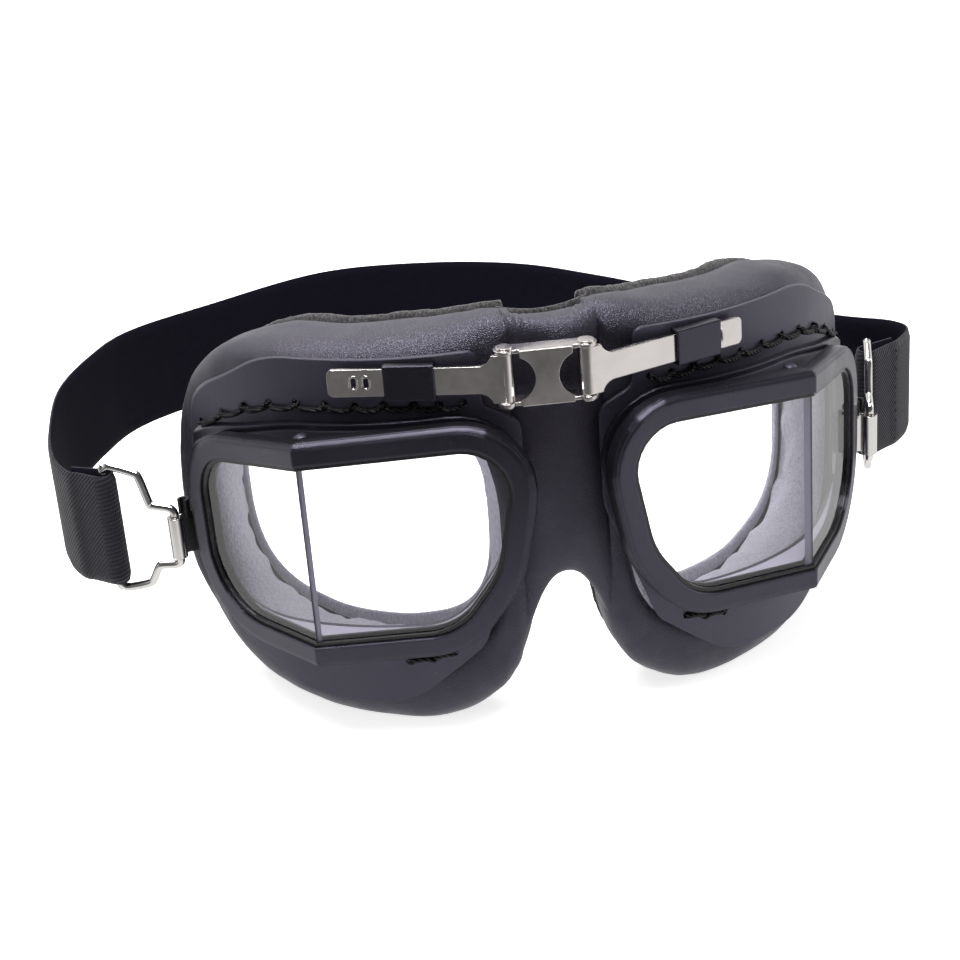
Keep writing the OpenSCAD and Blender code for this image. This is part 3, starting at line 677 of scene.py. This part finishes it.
def ring(stations, turns, inset, thickness, power, crown):
    """Ring round the right eye: a row of points for each station, at each turn of its section. With
    no thickness it fills the pad's depth, otherwise it lies behind that."""
    outer = loop_curve(PAD_OUTER, stations)
    away = outer - EYE_MIDDLE
    shrink = 1 / ((np.abs(away) / EYE_HALF) ** EYE_POWER).sum(1, keepdims=True) ** (1 / EYE_POWER)
    inner = EYE_MIDDLE + away * shrink
    t = np.asarray(turns)
    across = 0.5 + 0.5 * bulge(np.cos(t), power)
    deep = 0.5 + 0.5 * bulge(np.sin(t), power)
    a = (inner + (outer - inner) * inset)[:, None]
    b = (outer + (inner - outer) * inset)[:, None]
    p = a + (b - a) * across[None, :, None]
    p = p + unit(away)[:, None] * (crown * np.sin(np.pi * deep) * np.cos(t))[None, :, None]
    depth = depth_at(p[..., 0])
    if thickness > 0:
        d = depth + PAD_GAP + thickness * deep
    else:
        d = depth * deep
    share = np.broadcast_to(mix(inset, 1 - inset, across)[None, :], d.shape)
    points = pad_place(p[..., 0], p[..., 1], d, share).reshape(-1, 3)
    points[:, 2] = np.maximum(points[:, 2], FOOT)
    return points


def ring_skin(sides, inset, thickness, power, crown):
    """The turns of a ring's section, its points, and each point's way out of the section."""
    turns = 2 * np.pi * (np.arange(sides) + 0.5) / sides
    points = ring(PAD_STATIONS, turns, inset, thickness, power, crown)
    flat = ring(PAD_STATIONS, turns, inset, thickness, power, 0.0)
    middle = flat.reshape(PAD_STATIONS, sides, 3).mean(1)
    return turns, points, unit(points - np.repeat(middle, sides, 0))


def ring_mesh(name, side, points, material, pale):
    """Mesh of a ring, with fleece on the columns of its section that are marked pale."""
    faces = grid_faces(PAD_STATIONS, len(pale), True, True)
    obj = new_mesh(name, mirrored(points, side), faces, material)
    obj.data.materials.append(FLEECE)
    obj.data.polygons.foreach_set("material_index", np.tile(pale, PAD_STATIONS).astype(int))
    face_out(obj)
    return obj


def cushion(side, name):
    """Stuffed leather ring with soft bumps, creases by the nose, and a scalloped edge at the eye."""
    turns, points, away = ring_skin(44, 0, 0, CUSHION_POWER, CUSHION_CROWN)
    soft = rough(points, 9, 3 + side) * BUMPS[0] + rough(points, 3.5, 7 + side) * BUMPS[1]
    near_nose = hill(points[:, 0], 12, 8)
    crease = rough(points * np.array([1, 0.35, 0.35]), 2.6, 11 + side) * CREASES * near_nose
    inside = np.clip(-np.cos(turns) * 1.6, 0, 1) * np.clip(np.sin(turns) * 1.6, 0, 1)
    scallop = rough(points, 5, 19 + side) * SCALLOPS * np.tile(inside, PAD_STATIONS)
    outside = np.clip(np.cos(turns), 0, 1) * np.clip(np.sin(turns), 0, 1)
    seam = np.tile(outside, PAD_STATIONS) * SEAM_OUT
    free = np.clip(points[:, 2] / 1.5, 0, 1)
    points = points + away * ((soft + crease + scallop + seam) * free)[:, None]
    points[:, 2] = np.maximum(points[:, 2], FOOT)
    pale = (np.cos(turns) < -0.2) & (np.sin(turns) > -0.75)
    return ring_mesh(name, side, points, LEATHER, pale)


def welt(side, name):
    """The leather's cut edge along the back of the cushion."""
    line = ring(2 * PAD_STATIONS, [math.radians(WELT_TURN)], 0, 0, CUSHION_POWER, WELT_CROWN)
    line += unit(line - line.mean(0)) * (0.12 + 0.15 * rough(line, 2.5, 23 + side))[:, None]
    line[:, 2] = np.maximum(line[:, 2], WELT_FOOT)
    return tube(name, mirrored(np.vstack([line, line[:1]]), side), WELT_R, WELT, 3)


def lining(side, name):
    """Felt ring behind the cushion, with a rough outer edge that flares at the nose."""
    turns, points, away = ring_skin(20, LINING_INSET, LINING_T, LINING_POWER, 0.05)
    outer = np.tile(np.clip(np.cos(turns) * 1.5, 0, 1), PAD_STATIONS)
    torn = rough(points, 1.1, 31 + side) * TORN[0] + rough(points, 4, 37 + side) * TORN[1]
    flare = FLARE * hill(points[:, 0], 9, 6)
    points += away * ((torn + flare) * outer)[:, None]
    points[:, 2] = np.maximum(points[:, 2], FOOT)
    return ring_mesh(name, side, points, FELT, np.cos(turns) < -0.5)


for side, word in WORDS.items():
    pad = cushion(side, f"cushion_{word}")
    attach(pad, f"eyepiece_{word}")
    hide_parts(f"face_pad_{word}")
    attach(welt(side, f"cushion_edge_{word}"), f"eyepiece_{word}")
    felt_ring = lining(side, f"felt_{word}")
    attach(felt_ring, f"eyepiece_{word}")
    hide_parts(f"pad_lining_{word}")

# Nose piece: one saddle, cut where it passes from one body to the next
NOSE_REACH = 10.0
NOSE_CUTS = [-NOSE_REACH, -4.5, 0.0, 2.6, NOSE_REACH]
NOSE_WORDS = ["outer_left", "inner_left", "inner_right", "outer_right"]
NOSE_STEP = 0.35

# Squareness of the nose's section in depth and in height. At its ends its arch is lower by ARCH_DROP,
# its top higher by TOP_RISE, and its back further forward by BACK_IN.
NOSE_POWER = (3.4, 5.0)
ARCH_DROP = 16.5
TOP_RISE = 1.9
BACK_IN = 0.4

# Where the link presses the leather in, as x and z, and how far
LINK_SPOT = (-5, 86)
LINK_PRESS = 2.0


def saddle(columns, sides, front, back, low, high, dip):
    """Closed section in y and z at each x. Towards the eyepieces its arch comes down, its top rises
    and its front goes back by dip."""
    points = []
    t = 2 * np.pi * (np.arange(sides) + 0.5) / sides
    for x in columns:
        w = abs(x) / NOSE_REACH
        y0 = front + dip * w ** 4
        y1 = back - BACK_IN * w ** 4
        z0 = low - ARCH_DROP * w ** 2.2
        z1 = high + TOP_RISE * w ** 2
        y = (y0 + y1) / 2 - (y1 - y0) / 2 * bulge(np.cos(t), NOSE_POWER[0])
        z = (z0 + z1) / 2 + (z1 - z0) / 2 * bulge(np.sin(t), NOSE_POWER[1])
        points.append(np.stack([np.full(sides, x), y, z], 1))
    return np.concatenate(points)


def nose_columns():
    """Places from side to side, with one at each cut."""
    spans = []
    for a, b in zip(NOSE_CUTS[:-1], NOSE_CUTS[1:]):
        spans.append(np.linspace(a, b, max(4, int(abs(b - a) / NOSE_STEP))))
    return np.unique(np.round(np.concatenate(spans), 5))


def capped_faces(rings, sides):
    """Faces of a skin between rings of points, with both ends closed."""
    faces = grid_faces(rings, sides, False, True)
    faces.append(tuple(range(sides)))
    faces.append(tuple(range(rings * sides - 1, (rings - 1) * sides - 1, -1)))
    return faces


def cut_saddle(name, material, sides, points_of, replaced):
    """A saddle's pieces, cut from one skin whose normals they keep."""
    columns = nose_columns()
    points = points_of(columns, sides)
    normals = outward_normals(points, grid_faces(len(columns), sides, False, True), material)
    for k, word in enumerate(NOSE_WORDS):
        low, high = NOSE_CUTS[k], NOSE_CUTS[k + 1]
        keep = [i for i, x in enumerate(columns) if low - 1e-6 <= x <= high + 1e-6]
        kept = slice(keep[0] * sides, (keep[-1] + 1) * sides)
        obj = new_mesh(f"{name}_{word}", points[kept], capped_faces(len(keep), sides), material)
        obj.data.normals_split_custom_set_from_vertices([tuple(n) for n in normals[kept]])
        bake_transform(obj)
    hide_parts(replaced)


def nose_leather(columns, sides):
    """The saddle's leather: pleated on top, uneven, and pressed in behind the link."""
    points = saddle(columns, sides, front=-3.1, back=9.2, low=35.5, high=96.2, dip=1.9)
    top = step_between(points[:, 2], (70, 90))
    beside = hill(np.abs(points[:, 0]), 6.5, 2.2)
    points[:, 2] -= np.abs(np.sin(points[:, 0] * 1.9) * beside * 0.35 * top)
    points[:, 1] += rough(points, 6, 5) * 0.25
    across = (points[:, 0] - LINK_SPOT[0]) / 4
    up = (points[:, 2] - LINK_SPOT[1]) / 9
    pressed = points[:, 1] + LINK_PRESS * np.exp(-across ** 2 - up ** 2)
    points[:, 1] = np.where(points[:, 1] < 2, pressed, points[:, 1])
    return points


def nose_felt(columns, sides):
    """The saddle's felt, behind the leather."""
    return saddle(columns, sides, front=9.3, back=11.4, low=36.1, high=95.2, dip=-0.2)


cut_saddle("nose_cushion", LEATHER, 64, nose_leather, "nose_pad")
cut_saddle("nose_felt", FELT, 48, nose_felt, "nose_lining")

# Wire loops: how far they reach, their height, how much higher than the tube their far bar lies, and
# the turn in degrees that each rests at. The wire is drawn a little thinner, clear of the tube.
WIRE_R = 1.0
WIRE_DRAWN = 0.985
LOOP_REACH = 16.5
LOOP_H = 31.4
LOOP_RISE = 1.6
LOOP_TURN = {-1: 25, 1: 72}

# Bends of half a loop: out from the tube and beyond its end, then in from the far bar and short of
# the loop's height
WIRE_NEAR = [(0, -0.6), (0, 0.9), (0.4, 1.7), (1.4, 2.2), (4.8, 2.6), (5.9, 3.2)]
WIRE_FAR = [(8.9, 2.6), (7.5, 1.3), (2.4, 0), (1, 0.3), (0.2, 1.1), (0, 2.2)]


def wire_path(side):
    """Middle line of a loop, from inside the tube and back."""
    a = math.radians(LOOP_TURN[side])
    half = {}
    for e in (1, -1):
        half[e] = [(out, e * (HOOK_H / 2 + up)) for out, up in WIRE_NEAR]
        half[e] += [(LOOP_REACH - out, LOOP_RISE + e * (LOOP_H / 2 - up)) for out, up in WIRE_FAR]
    flat = open_curve([(0, 0)] + half[1] + half[-1][::-1] + [(0, 0)], 6)
    points = np.array([HOOK + np.array([x * math.cos(a), x * math.sin(a), z]) for x, z in flat])
    return mirrored(points, side)


for side, word in WORDS.items():
    wire = tube(f"loop_wire_{word}", wire_path(side), WIRE_R * WIRE_DRAWN, WIRE)
    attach(wire, f"wire_{word}")
    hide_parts(f"wire_loop_{word}")

# Strap: its route from the left loop to the right one, as x, y and height over its usual one
STRAP_W = 28.0
STRAP_T = 1.5
STRAP_Z = HOOK[2] + LOOP_RISE
STRAP_ROUTE = [
    (-110.8, 57, 0.3), (-111.3, 73, 1.4), (-108.6, 93, 3), (-100.5, 113, 3.2), (-90, 133, 1.4),
    (-68, 152.5, -1.2), (-34, 169, -1.7), (-4, 168.5, -2.6), (22, 157, -2.6), (41, 138, -2.4),
    (60, 114, -2), (77, 94, -1.5), (93, 78, -1), (102.2, 69.6, -0.5), (104.2, 62.4, -0.2),
]

# End folds: the direction in which each leaves its bar, in degrees, both layers beyond the bar, as
# distance from it and from the fold's middle, and the turn round the bar: its radius, its start and
# its size in degrees, and its steps
AWAY = {-1: 145, 1: 24}
FOLD_TAIL = [(9.5, 1.05), (5.5, 1.5)]
FOLD_OUT = [(5.5, 1.5), (9.5, 0.95)]
FOLD_R = WIRE_R + STRAP_T / 2 + 0.45
FOLD_START = 75
FOLD_TURN = 210
FOLD_STEPS = 13


def bar_place(side):
    """Middle of a loop's far bar, from above."""
    a = math.radians(LOOP_TURN[side])
    out = HOOK[0] + LOOP_REACH * math.cos(a)
    return np.array([side * out, HOOK[1] + LOOP_REACH * math.sin(a)])


def fold_axes(side):
    """Directions along an end fold and across it, from above."""
    away = math.radians(AWAY[side])
    u = np.array([math.cos(away), math.sin(away)])
    return u, np.array([-u[1], u[0]]) * side


def end_fold(side):
    """Tail on the head's side, round the bar, and out again."""
    bar = bar_place(side)
    u, v = fold_axes(side)
    points = [bar + a * u + b * v for a, b in FOLD_TAIL]
    for k in range(FOLD_STEPS + 1):
        a = math.radians(FOLD_START + FOLD_TURN * k / FOLD_STEPS)
        points.append(bar + FOLD_R * (math.cos(a) * u + math.sin(a) * v))
    points += [bar + a * u - b * v for a, b in FOLD_OUT]
    return [(p[0], p[1], 0) for p in points]


strap_line = even(open_curve([*end_fold(-1), *STRAP_ROUTE, *end_fold(1)[::-1]], 8), 0.8)
strap_along = np.concatenate([[0], np.cumsum(np.linalg.norm(np.diff(strap_line, axis=0), axis=1))])
STRAP_TOTAL = strap_along[-1]
WEBBING = twill(STRAP_TOTAL * MM)

# Columns round the webbing: the place across it from -1 to 1, out along one face and back along the
# other. It is flat up to STRAP_FLAT and rounded from there to its edge.
STRAP_COLUMNS = [(2 * k / 14 - 1) * face for face in (1, -1) for k in range(15)]
STRAP_SIDES = len(STRAP_COLUMNS)
STRAP_FLAT = 0.93
STRAP_EDGE = 0.07


def strap_section(i):
    """Points round the webbing at a place on its line."""
    a = strap_line[max(0, i - 1)]
    b = strap_line[min(len(strap_line) - 1, i + 1)]
    out = unit(np.array([-(b - a)[1], (b - a)[0]]))
    p = strap_line[i]
    points = []
    for k, s in enumerate(STRAP_COLUMNS):
        face = 1 if k < STRAP_SIDES // 2 else -1
        edge = max(0.0, abs(s) - STRAP_FLAT) / STRAP_EDGE
        thick = STRAP_T / 2 * math.sqrt(max(0.02, 1 - 0.9 * edge ** 2)) * face
        points.append((p[0] + out[0] * thick, p[1] + out[1] * thick, STRAP_Z + p[2] + s * STRAP_W / 2))
    return points


STRAP_POINTS = np.array([strap_section(i) for i in range(len(strap_line))]).reshape(-1, 3)
STRAP_NORMALS = outward_normals(
    STRAP_POINTS, grid_faces(len(strap_line), STRAP_SIDES, False, True), WEBBING)


def strap_piece(name, first, last):
    """The webbing between two of its sections: twill outside, knit inside."""
    kept = slice(first * STRAP_SIDES, (last + 1) * STRAP_SIDES)
    faces = capped_faces(last - first + 1, STRAP_SIDES)
    obj = new_mesh(name, STRAP_POINTS[kept], faces, WEBBING)
    obj.data.materials.append(KNIT)
    for face in obj.data.polygons:
        column = min(v % STRAP_SIDES for v in face.vertices)
        face.material_index = 1 if column >= STRAP_SIDES // 2 else 0
    face_out(obj)
    obj.data.normals_split_custom_set_from_vertices([tuple(n) for n in STRAP_NORMALS[kept]])
    layer = obj.data.uv_layers.new(name="UVMap")
    for loop in obj.data.loops:
        section, column = divmod(loop.vertex_index, STRAP_SIDES)
        width = 0.5 + 0.5 * STRAP_COLUMNS[column]
        layer.data[loop.index].uv = (strap_along[first + section] * MM, width * STRAP_W * MM)
    return obj


def nearest(length):
    """Section of the strap nearest to this length from its start."""
    return int(np.argmin(np.abs(strap_along - length)))


# Lengths at which the strap is cut, the bodies at the cuts, and how far from a piece's start a place
# on its line is looked up, at the left wire and at the other cuts; that place is not used further
STRAP_CUTS = [0, 74, 102, 0.5 * STRAP_TOTAL, STRAP_TOTAL - 100, STRAP_TOTAL - 72, STRAP_TOTAL]
STRAP_BODIES = [
    "wire_left", "eyepiece_left", "arm_left", "bridge", "arm_right", "eyepiece_right", "wire_right",
]
FIXED_AT_WIRE = 24.0
FIXED_AT_CUT = 3
for k in range(len(STRAP_CUTS) - 1):
    first, last = nearest(STRAP_CUTS[k]), nearest(STRAP_CUTS[k + 1])
    piece = strap_piece(f"webbing_{k + 1}", first, last)
    fixed_first = FIXED_AT_WIRE if STRAP_BODIES[k] == "wire_left" else FIXED_AT_CUT
    begin = nearest(strap_along[first] + fixed_first)
    lift = np.array([0, 0, STRAP_Z])
    start = placed(strap_line[begin] + lift)
    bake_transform(piece)
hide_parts("head_strap")

# Stitches through both layers of each end fold: where the tail's and the outer layer's middles lie,
# and which way their faces point, then the stitches in a row, their place, length and radius, how
# slanted they are at most, how far their ends sink into the webbing, and how far their middles rise
STITCH_LAYERS = [(1.22, 1), (-1.16, -1)]
STITCH_ROW = 11
STITCH_AT = 8
STITCH_LENGTH = 1.6
STITCH_R = 0.22
STITCH_SLANT = 0.35
STITCH_RISE = 0.24
STITCH_SUNK = 0.08


def stitch_paths(side):
    """Lines of all the stitches of one end fold, slightly uneven."""
    bar = bar_place(side)
    u, v = fold_axes(side)
    paths = []
    for middle, way in STITCH_LAYERS:
        face = middle + way * STRAP_T / 2
        for k in range(STITCH_ROW):
            z = STRAP_Z + (k - STITCH_ROW // 2) * STRAP_W / (STITCH_ROW + 1)
            slant = STITCH_SLANT * math.sin(2.1 * k + side)
            path = []
            for j in range(7):
                s = j / 6 - 0.5
                lift = way * (STITCH_RISE * (1 - (2 * s) ** 4) - STITCH_SUNK)
                p = bar + (STITCH_AT + slant * 2 * s) * u + (face + lift) * v
                path.append((p[0], p[1], z + STITCH_LENGTH * s))
            paths.append(path)
    return paths


for side, word in WORDS.items():
    for k, path in enumerate(stitch_paths(side)):
        stitch = tube(f"stitch_{word}_{k + 1}", path, STITCH_R, THREAD, 3)
        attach(stitch, f"wire_{word}")
        if word == "left" and k == 0:
            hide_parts("strap_stitching")

# Lacing through the right base plate: its holes above and below, as x and height from the glass's
# middle, how far the cord hangs below the line between two holes, and the radius of the cord and of
# the thinner turns
LACE_TOP = [
    (20.5, 32.4), (25.5, 32.2), (31, 32.6), (37, 32.5), (43, 32), (49, 31.8), (55, 31.4),
    (60.5, 30.4), (65.5, 28.4), (70.6, 25.2), (75.2, 20.7),
]
LACE_LOW = [(27, -28.3), (32, -29.8), (37, -30.6)]
LACES = [("upper", LACE_TOP, 1.1), ("lower", LACE_LOW, -0.3)]
LACE_R = 0.6
TURN_R = 0.38

# How far the cord's middle stands off the plate, dives at the holes and is frayed, then how far a
# turn's ends sink in, how far it rises from there, and its sway, upper end and height
LACE_OUT = 0.7
LACE_DIVE = 1.7
LACE_FRAY = 0.12
TURN_SUNK = 0.9
TURN_RISE = 1.9
TURN_SWAY = 0.7
TURN_TOP = 0.5
TURN_H = 1.3


def on_plate(x, z, lift):
    """Place in front of the base plate's front, by lift."""
    a = math.asin((x - PLATE_X) / PLATE_R)
    r = PLATE_R + lift
    return np.array([PLATE_X + r * math.sin(a), PLATE_Y - r * math.cos(a), LENS_Z + z])


def lace_path(row, sag):
    """Cord in and out of the holes, sagging towards the eyecup's ledge between them."""
    points = []
    for (x0, z0), (x1, z1) in zip(row[:-1], row[1:]):
        for k in range(12):
            t = k / 11
            over = math.sin(math.pi * t)
            fray = LACE_FRAY * noise.noise(Vector((x0 + 5 * t, z0, 3.0)))
            z = mix(z0, z1, t) - sag * over ** 0.35 + fray
            points.append(on_plate(mix(x0, x1, t), z, LACE_OUT - LACE_DIVE * (1 - over) ** 4))
    return points


def lace_turn(x, z, seed):
    """Short turn of thinner cord that crosses a hole."""
    points = []
    for k in range(7):
        t = k / 6
        lift = -TURN_SUNK + TURN_RISE * math.sin(math.pi * t)
        across = x + TURN_SWAY * math.sin(3 * t + seed)
        points.append(on_plate(across, z + TURN_TOP - TURN_H * t, lift))
    return points


for side, word in WORDS.items():
    for place, row, sag in LACES:
        path = mirrored(np.array(lace_path(row, sag)), side)
        lace = tube(f"lace_{place}_{word}", path, LACE_R, THREAD, 4)
        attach(lace, f"eyepiece_{word}")
        if place == "upper":
            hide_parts(f"lacing_{word}")
        for k, (x, z) in enumerate(row):
            path = open_curve(mirrored(np.array(lace_turn(x, z, 1.7 * k)), side), 3)
            turn = tube(f"lace_{place}_{word}_{k + 1}", path, TURN_R, THREAD, 3)
            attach(turn, f"eyepiece_{word}")

# Raised rims round the two slots in each arm: the keeper's place, the height of the arms' middle, how
# far the arms' front stands off the plate, how far each arm is pushed in, and the slots' places. Then
# the slots' radius and half their straight part, the rims' radius, and how deep they lie in the arm.
KEEPER_X = 31.0
ARM_UP = 38.4
ARM_FRONT = 1.85
SLIDE = {-1: 20.3, 1: 26.6}
SLOTS = (29.6, 32.3)
SLOT_R = 0.84
SLOT_HALF = 0.65
RIM_R = 0.3
RIM_SUNK = 0.17


def slot_rim(side, along):
    """Line round a slot: two half circles joined by short straights."""
    turn = math.asin((KEEPER_X - PLATE_X) / PLATE_R)
    middle = on_plate(KEEPER_X, ARM_UP, 0)
    points = []
    for k in range(33):
        a = 2 * math.pi * k / 32
        x = along - SLIDE[side] + SLOT_R * math.cos(a)
        straight = math.copysign(SLOT_HALF, math.sin(a)) * min(1, abs(math.sin(a)) * 8)
        y = -ARM_FRONT + RIM_SUNK
        points.append(middle + np.array([
            x * math.cos(turn) - y * math.sin(turn),
            x * math.sin(turn) + y * math.cos(turn),
            SLOT_R * math.sin(a) + straight,
        ]))
    return mirrored(np.array(points), side)


for side, word in WORDS.items():
    for k, along in enumerate(SLOTS):
        line = slot_rim(side, along)
        rim = tube(f"slot_rim_{word}_{k + 1}", line, RIM_R, NICKEL, 3)
        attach(rim, f"arm_{word}")

# Floor and backdrop: the floor's half width in metres, the direction in which the glow painted on it
# for mirrors gets lighter and the places between which it does, and the world's strength for light
# that isn't seen
FLOOR_HALF = 4
FLOOR_WAY = (0.55, 1, 0)
FLOOR_FADE = (-0.27, -0.15)
FLOOR_GLOW = 0.7
FILL = 0.6

# Camera: the place it aims at and its distance in millimetres, its angles in degrees, and its lens
AIM = (-18, 0, LENS_Z + 12.9)
DISTANCE = 450
AZIMUTH = -8.8
ELEVATION = 25.0
ROLL = -4.7
LENS = 77.55
SENSOR = 36


def floor():
    """White card. Mirrors see a glow painted on it instead, a painted reflection: white at the back,
    fading to dark towards the unlit front of the studio.
    """
    mesh = bpy.data.meshes.new("floor")
    corners = [(-1, -1), (1, -1), (1, 1), (-1, 1)]
    mesh.from_pydata([(x * FLOOR_HALF, y * FLOOR_HALF, 0) for x, y in corners], [], [(0, 1, 2, 3)])
    obj = in_scene("floor", mesh)
    f = Finish("floor_card", (0.86, 0.86, 0.86), 0.9)
    f.set("Specular IOR Level", 0.1)
    path = f.add("ShaderNodeLightPath")
    f.set("Emission Color", (1, 1, 1, 1))
    f.drive("Emission Strength", f.ramp(path.outputs["Is Camera Ray"], 0, FLOOR_GLOW))
    # painted reflection: an emission that only mirrors see, brighter towards the back
    painted_reflection = f.add("ShaderNodeEmission")
    painted_glow = f.ramp(f.dot(f.mapped(), FLOOR_WAY), 0.15, 1.0, FLOOR_FADE)
    f.link(painted_glow, painted_reflection.inputs["Strength"])
    card, glow_seen_by_mirrors = f.shader.outputs["BSDF"], painted_reflection.outputs["Emission"]
    f.surface(f.mixed(path.outputs["Is Glossy Ray"], card, glow_seen_by_mirrors))
    mesh.materials.append(f.material)


def backdrop():
    """White behind the object, for mirrors and glass too, and dim towards the front and overhead."""
    world = bpy.data.worlds.new("studio")
    bpy.context.scene.world = world
    world.use_nodes = True
    tree = world.node_tree
    background = tree.nodes["Background"]
    background.inputs["Color"].default_value = (1, 1, 1, 1)
    path = tree.nodes.new("ShaderNodeLightPath")
    parts = tree.nodes.new("ShaderNodeSeparateXYZ")
    tree.links.new(tree.nodes.new("ShaderNodeTexCoord").outputs["Generated"], parts.inputs["Vector"])
    shades = []
    for axis, low, high, at in (("Y", 0.1, 1.0, (-0.55, 0.35)), ("Z", 1.0, 0.3, (0.3, 0.6))):
        shade = tree.nodes.new("ShaderNodeMapRange")
        shade.inputs["From Min"].default_value = at[0]
        shade.inputs["From Max"].default_value = at[1]
        shade.inputs["To Min"].default_value = low
        shade.inputs["To Max"].default_value = high
        tree.links.new(parts.outputs[axis], shade.inputs["Value"])
        shades.append(shade.outputs["Result"])
    both = tree.nodes.new("ShaderNodeMath")
    both.operation = "MULTIPLY"
    tree.links.new(shades[0], both.inputs[0])
    tree.links.new(shades[1], both.inputs[1])
    strength = None
    for kind in ("Is Glossy Ray", "Is Transmission Ray", "Is Camera Ray"):
        pick = tree.nodes.new("ShaderNodeMix")
        pick.inputs["A"].default_value = FILL
        pick.inputs["B"].default_value = 1.0
        tree.links.new(path.outputs[kind], pick.inputs["Factor"])
        if strength is not None:
            tree.links.new(strength, pick.inputs["A"])
        if kind == "Is Glossy Ray":
            tree.links.new(both.outputs["Value"], pick.inputs["B"])
        strength = pick.outputs["Result"]
    tree.links.new(strength, background.inputs["Strength"])


def softbox(name, place, aim, size, power):
    """Rectangular light at a place, turned to an aim, in metres and watts."""
    light = bpy.data.lights.new(name, "AREA")
    light.shape = "RECTANGLE"
    light.size, light.size_y = size
    light.energy = power
    obj = in_scene(name, light)
    obj.location = place
    obj.rotation_euler = (Vector(aim) - Vector(place)).to_track_quat("-Z", "Y").to_euler()


def photographer():
    """The camera found by fitting the rims' edges to the photograph."""
    az, el, ro = math.radians(AZIMUTH), math.radians(ELEVATION), math.radians(ROLL)
    back = Vector((math.sin(az) * math.cos(el), -math.cos(az) * math.cos(el), math.sin(el)))
    level = Vector((0, 0, 1)).cross(back).normalized()
    upright = back.cross(level)
    right = math.cos(ro) * level + math.sin(ro) * upright
    up = -math.sin(ro) * level + math.cos(ro) * upright
    data = bpy.data.cameras.new("camera")
    data.lens = LENS
    data.sensor_width = SENSOR
    data.clip_start = 0.01
    data.clip_end = 30
    camera = in_scene("camera", data)
    turn = Matrix((right, up, back)).transposed().to_4x4()
    camera.matrix_world = Matrix.Translation(Vector(placed(AIM)) + back * (DISTANCE * MM)) @ turn
    bpy.context.scene.camera = camera


floor()
backdrop()
softbox("key", place=(-0.1, -0.24, 1.0), aim=(0, -0.05, 0.05), size=(0.75, 0.42), power=16)
softbox("top", place=(-0.1, 0.55, 0.85), aim=(0, 0, 0.05), size=(0.9, 0.35), power=6)
softbox("side", place=(1.1, 0.0, 0.5), aim=(0, 0, 0.05), size=(0.5, 0.8), power=3)
photographer()
bpy.context.scene.view_settings.view_transform = "Standard"
